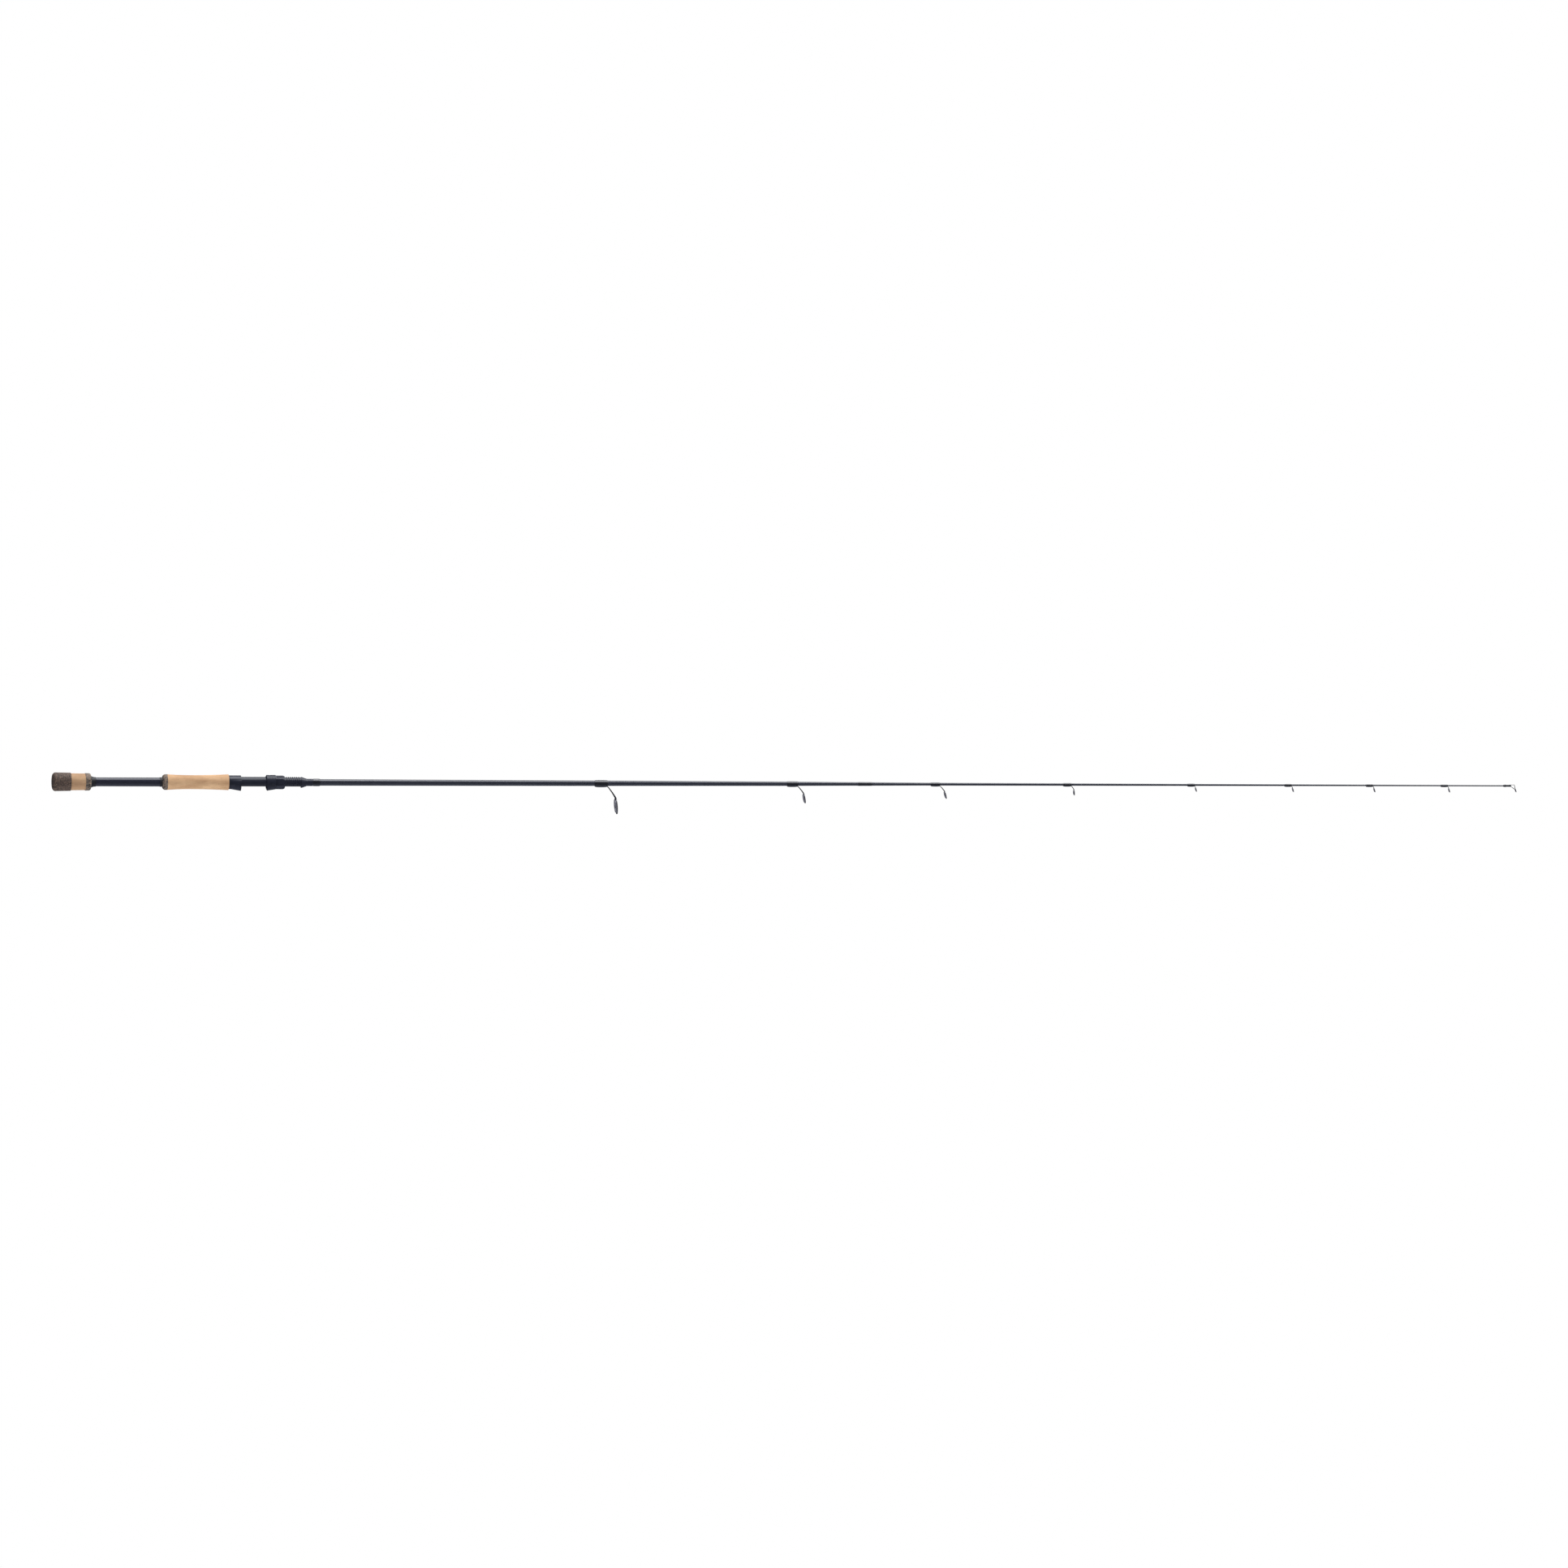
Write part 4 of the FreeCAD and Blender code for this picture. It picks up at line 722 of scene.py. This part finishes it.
black_plating, tree, shader = new_finish("black_plating")
place = on_object(tree)
tumble = noise(tree, place, 1300, 4, 0.6)
tree.links.new(ramp(tree, tumble, [(0.3, (0.070, 0.071, 0.076)), (0.7, (0.105, 0.106, 0.112))]),
               shader.inputs["Base Color"])
tree.links.new(levels(tree, tumble, 0.3, 0.7, 0.20, 0.34), shader.inputs["Roughness"])
shader.inputs["Metallic"].default_value = 0.9
relief(tree, shader, noise(tree, place, 3800, 2), 0.006)

ceramic, tree, shader = new_finish("ring_ceramic")
place = on_object(tree)
cloud = noise(tree, place, 700, 3)
tree.links.new(ramp(tree, cloud, [(0.3, (0.150, 0.148, 0.172)), (0.7, (0.205, 0.202, 0.232))]),
               shader.inputs["Base Color"])
tree.links.new(levels(tree, cloud, 0.3, 0.7, 0.10, 0.16), shader.inputs["Roughness"])
shader.inputs["Specular IOR Level"].default_value = 0.75
relief(tree, shader, noise(tree, place, 2500, 2), 0.003)

# Hoop, ring and bore diameters, lean, reach of the ring's centre in front of the wrap's rear end, wrap
# length, strip thickness, foot width and ring width.
GUIDE_SHAPES = {
    1: (24.5, 20.2, 15.6, 5.0, 31.0, 19.0, 1.1, 3.6, 3.0),
    2: (15.1, 12.3, 9.2, 10.0, 25.0, 16.0, 1.0, 3.0, 2.4),
    3: (11.8, 9.5, 7.0, 15.0, 21.2, 13.6, 0.9, 2.4, 2.0),
    4: (8.5, 6.9, 5.0, 5.0, 16.0, 12.4, 0.8, 2.0, 1.8),
}
RUNNER_SHAPE = (6.8, 5.5, 3.8, 17.0, 12.4, 10.6, 0.7, 1.8, 1.6)
WINDOWED_GUIDES = 3
HOOP_SIDES = 96
RING_STEPS = 24
RING_SQUARENESS = 0.8

# Guide proportions: epoxy under the foot in millimetres, the foot's end in foot widths, where along the
# hoop's diameter the leg touches and ends, how wide it is there, how it widens and bows on the way
# there, and the window's start, end and margin.
FOOT_GAP = 0.03
FOOT_END = 0.6
TOUCH_AT, TOUCH_WIDTH = 0.47, 0.54
LOWER_AT, LOWER_WIDTH = 0.42, 0.60
LEG_PLACES = (0.08, 0.20, 0.36, 0.52, 0.68, 0.82, 0.93)
LEG_WIDTH = 0.52
LEG_SPREAD = 1.3
LEG_BOW = 0.35
WINDOW_START, WINDOW_END, WINDOW_MARGIN = 0.30, 0.80, 0.30

# Tumbling: the skin's grain in strip thicknesses, never finer than so many millimetres, and the passes.
STRIP_GRAIN = 0.14
FINEST_GRAIN = 0.10
TUMBLE_PASSES = 7


def turn_leaning(name, centre, lean, stations, sides):
    """A closed ring turned through (along its axis, radius) stations about an axis that leans back."""
    deselect()
    axis = Vector((math.cos(math.radians(lean)), 0, math.sin(math.radians(lean))))
    along, radius = stations[0]
    bpy.ops.mesh.primitive_circle_add(
        vertices=sides,
        radius=radius * MM,
        location=centre + axis * along * MM,
        rotation=(0, math.radians(90 - lean), 0),
    )
    piece = bpy.context.active_object
    piece.name = piece.data.name = name
    bpy.ops.object.transform_apply(location=True, rotation=True, scale=True)
    bpy.ops.object.mode_set(mode="EDIT")
    bpy.ops.mesh.select_all(action="SELECT")
    for next_along, next_radius in stations[1:] + stations[:1]:
        step = axis * (next_along - along) * MM
        bpy.ops.mesh.extrude_region_move(TRANSFORM_OT_translate={"value": step})
        grow = next_radius / radius
        bpy.ops.transform.resize(value=(grow, grow, grow), center_override=centre + axis * next_along * MM)
        along, radius = next_along, next_radius
    bpy.ops.mesh.select_all(action="SELECT")
    bpy.ops.mesh.remove_doubles(threshold=WELD * MM)
    bpy.ops.mesh.normals_make_consistent(inside=False)
    bpy.ops.object.mode_set(mode="OBJECT")
    return piece


def bent_strip(name, start, path, thickness, window):
    """A strip drawn through (x, z, width) places, given a window (start, end, margin) and a thickness."""
    deselect()
    x, z, width = start
    bpy.ops.mesh.primitive_plane_add(size=1, location=(0, 0, 0))
    piece = bpy.context.active_object
    piece.name = piece.data.name = name
    bpy.ops.object.mode_set(mode="EDIT")
    bpy.ops.mesh.select_mode(type="EDGE")
    bpy.ops.mesh.select_all(action="SELECT")
    first_x, first_z = path[0][:2]
    bpy.ops.transform.resize(value=((first_x - x) * MM, width * MM, 1), center_override=(0, 0, 0))
    bpy.ops.transform.translate(value=((x + first_x) / 2 * MM, 0, z * MM))
    select_edges(piece, lambda one, two: min(one.x, two.x) > (x + first_x) / 2 * MM)
    at_x, at_z, at_width = first_x, first_z, width
    for next_x, next_z, next_width in path[1:]:
        move = ((next_x - at_x) * MM, 0, (next_z - at_z) * MM)
        bpy.ops.mesh.extrude_region_move(TRANSFORM_OT_translate={"value": move})
        bpy.ops.transform.resize(value=(1, next_width / at_width, 1), center_override=(0, 0, 0))
        at_x, at_z, at_width = next_x, next_z, next_width
    if window:
        bpy.ops.mesh.select_mode(type="FACE")
        mesh = bmesh.from_edit_mesh(piece.data)
        for face in mesh.faces:
            face.select_set(window[0] * MM < face.calc_center_median().x < window[1] * MM)
        bmesh.update_edit_mesh(piece.data)
        bpy.ops.mesh.inset(thickness=window[2] * MM, use_boundary=True)
        bpy.ops.mesh.delete(type="FACE")
    bpy.ops.mesh.select_mode(type="VERT")
    bpy.ops.object.mode_set(mode="OBJECT")
    wall = piece.modifiers.new("strip", "SOLIDIFY")
    wall.thickness = thickness * MM
    wall.offset = 0
    wall.use_even_offset = True
    bpy.ops.object.modifier_apply(modifier=wall.name)
    return piece


def tumble_round(piece, grain, passes):
    """Joins what overlaps into one skin and rounds its edges, as tumbling in grit does."""
    bpy.context.view_layer.objects.active = piece
    skin = piece.modifiers.new("one_skin", "REMESH")
    skin.mode = "VOXEL"
    skin.voxel_size = grain * MM
    skin.adaptivity = 0
    bpy.ops.object.modifier_apply(modifier=skin.name)
    soften = piece.modifiers.new("soften", "SMOOTH")
    soften.factor = 0.5
    soften.iterations = passes
    bpy.ops.object.modifier_apply(modifier=soften.name)
    smooth(piece, 60)


def squared(value):
    """Makes a round outline a little squarer."""
    return math.copysign(abs(value) ** RING_SQUARENESS, value)


def guide(number):
    """One single-foot guide: foot and leg in one strip, the hoop it bends into and the ceramic ring."""
    shape = GUIDE_SHAPES.get(number, RUNNER_SHAPE)
    hoop_d, ring_d, bore_d, lean, reach, wrap_length, strip, foot_width, ring_width = shape
    body, blank = under_guide(number)
    low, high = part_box("guide_%d_ring" % number)
    centre = (Vector(low) + Vector(high)) / 2
    ring_x, ring_z = centre.x / MM, centre.z / MM
    wrap_rear = ring_x - reach
    sine, cosine = math.sin(math.radians(lean)), math.cos(math.radians(lean))
    foot_z = -(radius_at(blank, wrap_rear) + FOOT_GAP + strip / 2)
    foot_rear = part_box("guide_%d_frame" % number)[0][0] / MM
    knee = wrap_rear + wrap_length
    # The strip meets the hoop's back, near its top, and runs down along it for a little.
    back = strip * 0.5
    back_x, back_z = ring_x + cosine * back, ring_z + sine * back
    touch = (back_x - sine * hoop_d * TOUCH_AT, back_z + cosine * hoop_d * TOUCH_AT)
    lower = (back_x - sine * hoop_d * LOWER_AT, back_z + cosine * hoop_d * LOWER_AT)
    run, fall = touch[0] - knee, foot_z - touch[1]
    path = [(knee - strip * 1.2, foot_z, foot_width), (knee - strip * 0.3, foot_z - strip * 0.14, foot_width)]
    for part in LEG_PLACES:
        bow = math.sin(math.pi * part) * strip * LEG_BOW
        wide = foot_width + (hoop_d * LEG_WIDTH - foot_width) * part**LEG_SPREAD
        path.append((knee + run * part + bow, foot_z - fall * part + bow * 0.4, wide))
    path.append((*touch, hoop_d * TOUCH_WIDTH))
    path.append((*lower, hoop_d * LOWER_WIDTH))
    window = None
    if number <= WINDOWED_GUIDES:
        window = (knee + run * WINDOW_START, knee + run * WINDOW_END, foot_width * WINDOW_MARGIN)
    name = "guide_%d" % number
    foot_end = (foot_rear, foot_z, foot_width * FOOT_END)
    leg = bent_strip(name + "_frame_skin", foot_end, path, strip, window)
    inner, outer = ring_d / 2 - strip * 0.15, hoop_d / 2
    section = [(0, inner), (strip, inner), (strip, outer), (0, outer)]
    hoop = turn_leaning(name + "_hoop", centre, lean, section, HOOP_SIDES)
    deselect()
    hoop.select_set(True)
    leg.select_set(True)
    bpy.context.view_layer.objects.active = leg
    bpy.ops.object.join()
    tumble_round(leg, max(FINEST_GRAIN, strip * STRIP_GRAIN), TUMBLE_PASSES)
    fit(leg, body, "guide_steel", black_plating, name + "_frame")
    profile = []
    middle, half_wide, half_deep = (ring_d + bore_d) / 4, ring_width / 2, (ring_d - bore_d) / 4
    for step in range(RING_STEPS):
        turn = 2 * math.pi * step / RING_STEPS
        profile.append((half_wide * squared(math.cos(turn)), middle + half_deep * squared(math.sin(turn))))
    ring = turn_leaning(name + "_ring_skin", centre, lean, profile, HOOP_SIDES)
    smooth(ring, 60)
    fit(ring, body, "ring_ceramic", ceramic, name + "_ring")


for number in range(1, GUIDES + 1):
    guide(number)

# The tip-top's frame keeps its own shape, its parts grown into one skin with rounded edges.
TIP_GRAIN = 0.09
TIP_PASSES = 3
TIP_RING_D = 4.6
TIP_BORE_D = 3.0
TIP_RING_WIDTH = 1.5
TIP_LEAN = 17.0
TIP_RING_STEPS = 20
TIP_RING_SIDES = 72
tip_frame = copy_of("tip_top_frame", WELD)
bpy.ops.object.mode_set(mode="OBJECT")
tumble_round(tip_frame, TIP_GRAIN, TIP_PASSES)
fit(tip_frame, "tip_section", "guide_steel", black_plating, "tip_top_frame")
low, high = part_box("tip_top_ring")
middle, half_deep = (TIP_RING_D + TIP_BORE_D) / 4, (TIP_RING_D - TIP_BORE_D) / 4
profile = []
for step in range(TIP_RING_STEPS):
    turn = 2 * math.pi * step / TIP_RING_STEPS
    profile.append((TIP_RING_WIDTH / 2 * math.cos(turn), middle + half_deep * math.sin(turn)))
centre = (Vector(low) + Vector(high)) / 2
tip_ring = turn_leaning("tip_top_ring_skin", centre, TIP_LEAN, profile, TIP_RING_SIDES)
smooth(tip_ring, 60)
fit(tip_ring, "tip_section", "ring_ceramic", ceramic, "tip_top_ring")

# --------------------------------------------------------------------------------------------------
# Studio. The pale table that the rod is shown over, one wide soft lamp above, a weaker one on each
# side, and a room that is pale from below and above and dark at the rod's own height.

ROD_MIDDLE = 1.07
FLOOR_DROP = 0.30
FLOOR_SIZE = 14
LAMP_WIDTH = 3.6
OVERHEAD_HEIGHT, OVERHEAD_DEPTH, OVERHEAD_POWER = 1.50, 1.4, 62
FILL_AWAY, FILL_HEIGHT, FILL_DEPTH, FILL_POWER = 2.60, 0.35, 1.2, 20
COOL_WHITE = (0.95, 0.97, 1.0)
deselect()
bpy.ops.mesh.primitive_plane_add(size=FLOOR_SIZE, location=(ROD_MIDDLE, 0, -FLOOR_DROP))
floor = bpy.context.active_object
floor.name = "floor"
paper, tree, shader = new_finish("pale_paper")
place = on_object(tree)
fleck = noise(tree, place, 14, 3)
tree.links.new(ramp(tree, fleck, [(0.3, (0.84, 0.84, 0.84)), (0.7, (0.86, 0.86, 0.86))]),
               shader.inputs["Base Color"])
shader.inputs["Roughness"].default_value = 0.9
floor.data.materials.append(paper)
floor.visible_glossy = False


def soft_lamp(name, place, depth, power):
    """A wide soft lamp at a place, turned towards the middle of the rod."""
    lamp = bpy.data.lights.new(name, "AREA")
    lamp.shape = "RECTANGLE"
    lamp.size = LAMP_WIDTH
    lamp.size_y = depth
    lamp.energy = power
    lamp.color = COOL_WHITE
    holder = bpy.data.objects.new(name, lamp)
    bpy.context.scene.collection.objects.link(holder)
    holder.location = place
    holder.rotation_mode = "QUATERNION"
    aim = Vector((ROD_MIDDLE, 0.0, 0.0)) - Vector(place)
    holder.rotation_quaternion = aim.to_track_quat("-Z", "Y")
    return holder


soft_lamp("overhead", (ROD_MIDDLE, 0.0, OVERHEAD_HEIGHT), OVERHEAD_DEPTH, OVERHEAD_POWER)
for name, side in (("front_fill", -1), ("rear_fill", 1)):
    fill = soft_lamp(name, (ROD_MIDDLE, FILL_AWAY * side, FILL_HEIGHT), FILL_DEPTH, FILL_POWER)
    fill.visible_glossy = False

world = bpy.data.worlds.new("studio")
bpy.context.scene.world = world
world.use_nodes = True
tree = world.node_tree
room = tree.nodes["Background"]
direction = tree.nodes.new("ShaderNodeTexCoord")
upward = tree.nodes.new("ShaderNodeSeparateXYZ")
tree.links.new(direction.outputs["Generated"], upward.inputs["Vector"])
height = levels(tree, upward.outputs["Z"], -1.0, 1.0)
room_colour = ramp(tree, height, [
    (0.0, (0.330, 0.355, 0.440)), (0.16, (0.215, 0.235, 0.300)), (0.34, (0.055, 0.062, 0.082)),
    (0.62, (0.050, 0.056, 0.074)), (1.0, (0.180, 0.190, 0.220)),
])
tree.links.new(room_colour, room.inputs["Color"])
backdrop = tree.nodes.new("ShaderNodeBackground")
backdrop.inputs["Color"].default_value = (1, 1, 1, 1)
backdrop.inputs["Strength"].default_value = 1.0
seen = tree.nodes.new("ShaderNodeLightPath")
choose = tree.nodes.new("ShaderNodeMixShader")
tree.links.new(seen.outputs["Is Camera Ray"], choose.inputs["Fac"])
tree.links.new(room.outputs["Background"], choose.inputs[1])
tree.links.new(backdrop.outputs["Background"], choose.inputs[2])
tree.links.new(choose.outputs["Shader"], tree.nodes["World Output"].inputs["Surface"])
bpy.context.scene.view_settings.view_transform = "Standard"

# The camera: far off, level with the rod, a little towards the butt.
YAW = 8.0
ROLL = 0.16
DISTANCE = 9.0
FRAME_WIDTH = 2.2644
CLIP_END = 60
MIDDLE = (1.0672, 0.0, -0.0003)
camera = bpy.data.cameras.new("camera")
camera.type = "ORTHO"
camera.ortho_scale = FRAME_WIDTH
camera.clip_end = CLIP_END
eye = bpy.data.objects.new("camera", camera)
bpy.context.scene.collection.objects.link(eye)
yaw = math.radians(YAW)
eye.location = (MIDDLE[0] - DISTANCE * math.sin(yaw), -DISTANCE * math.cos(yaw), MIDDLE[2])
eye.rotation_euler = (math.radians(90), math.radians(-ROLL), -yaw)
bpy.context.scene.camera = eye
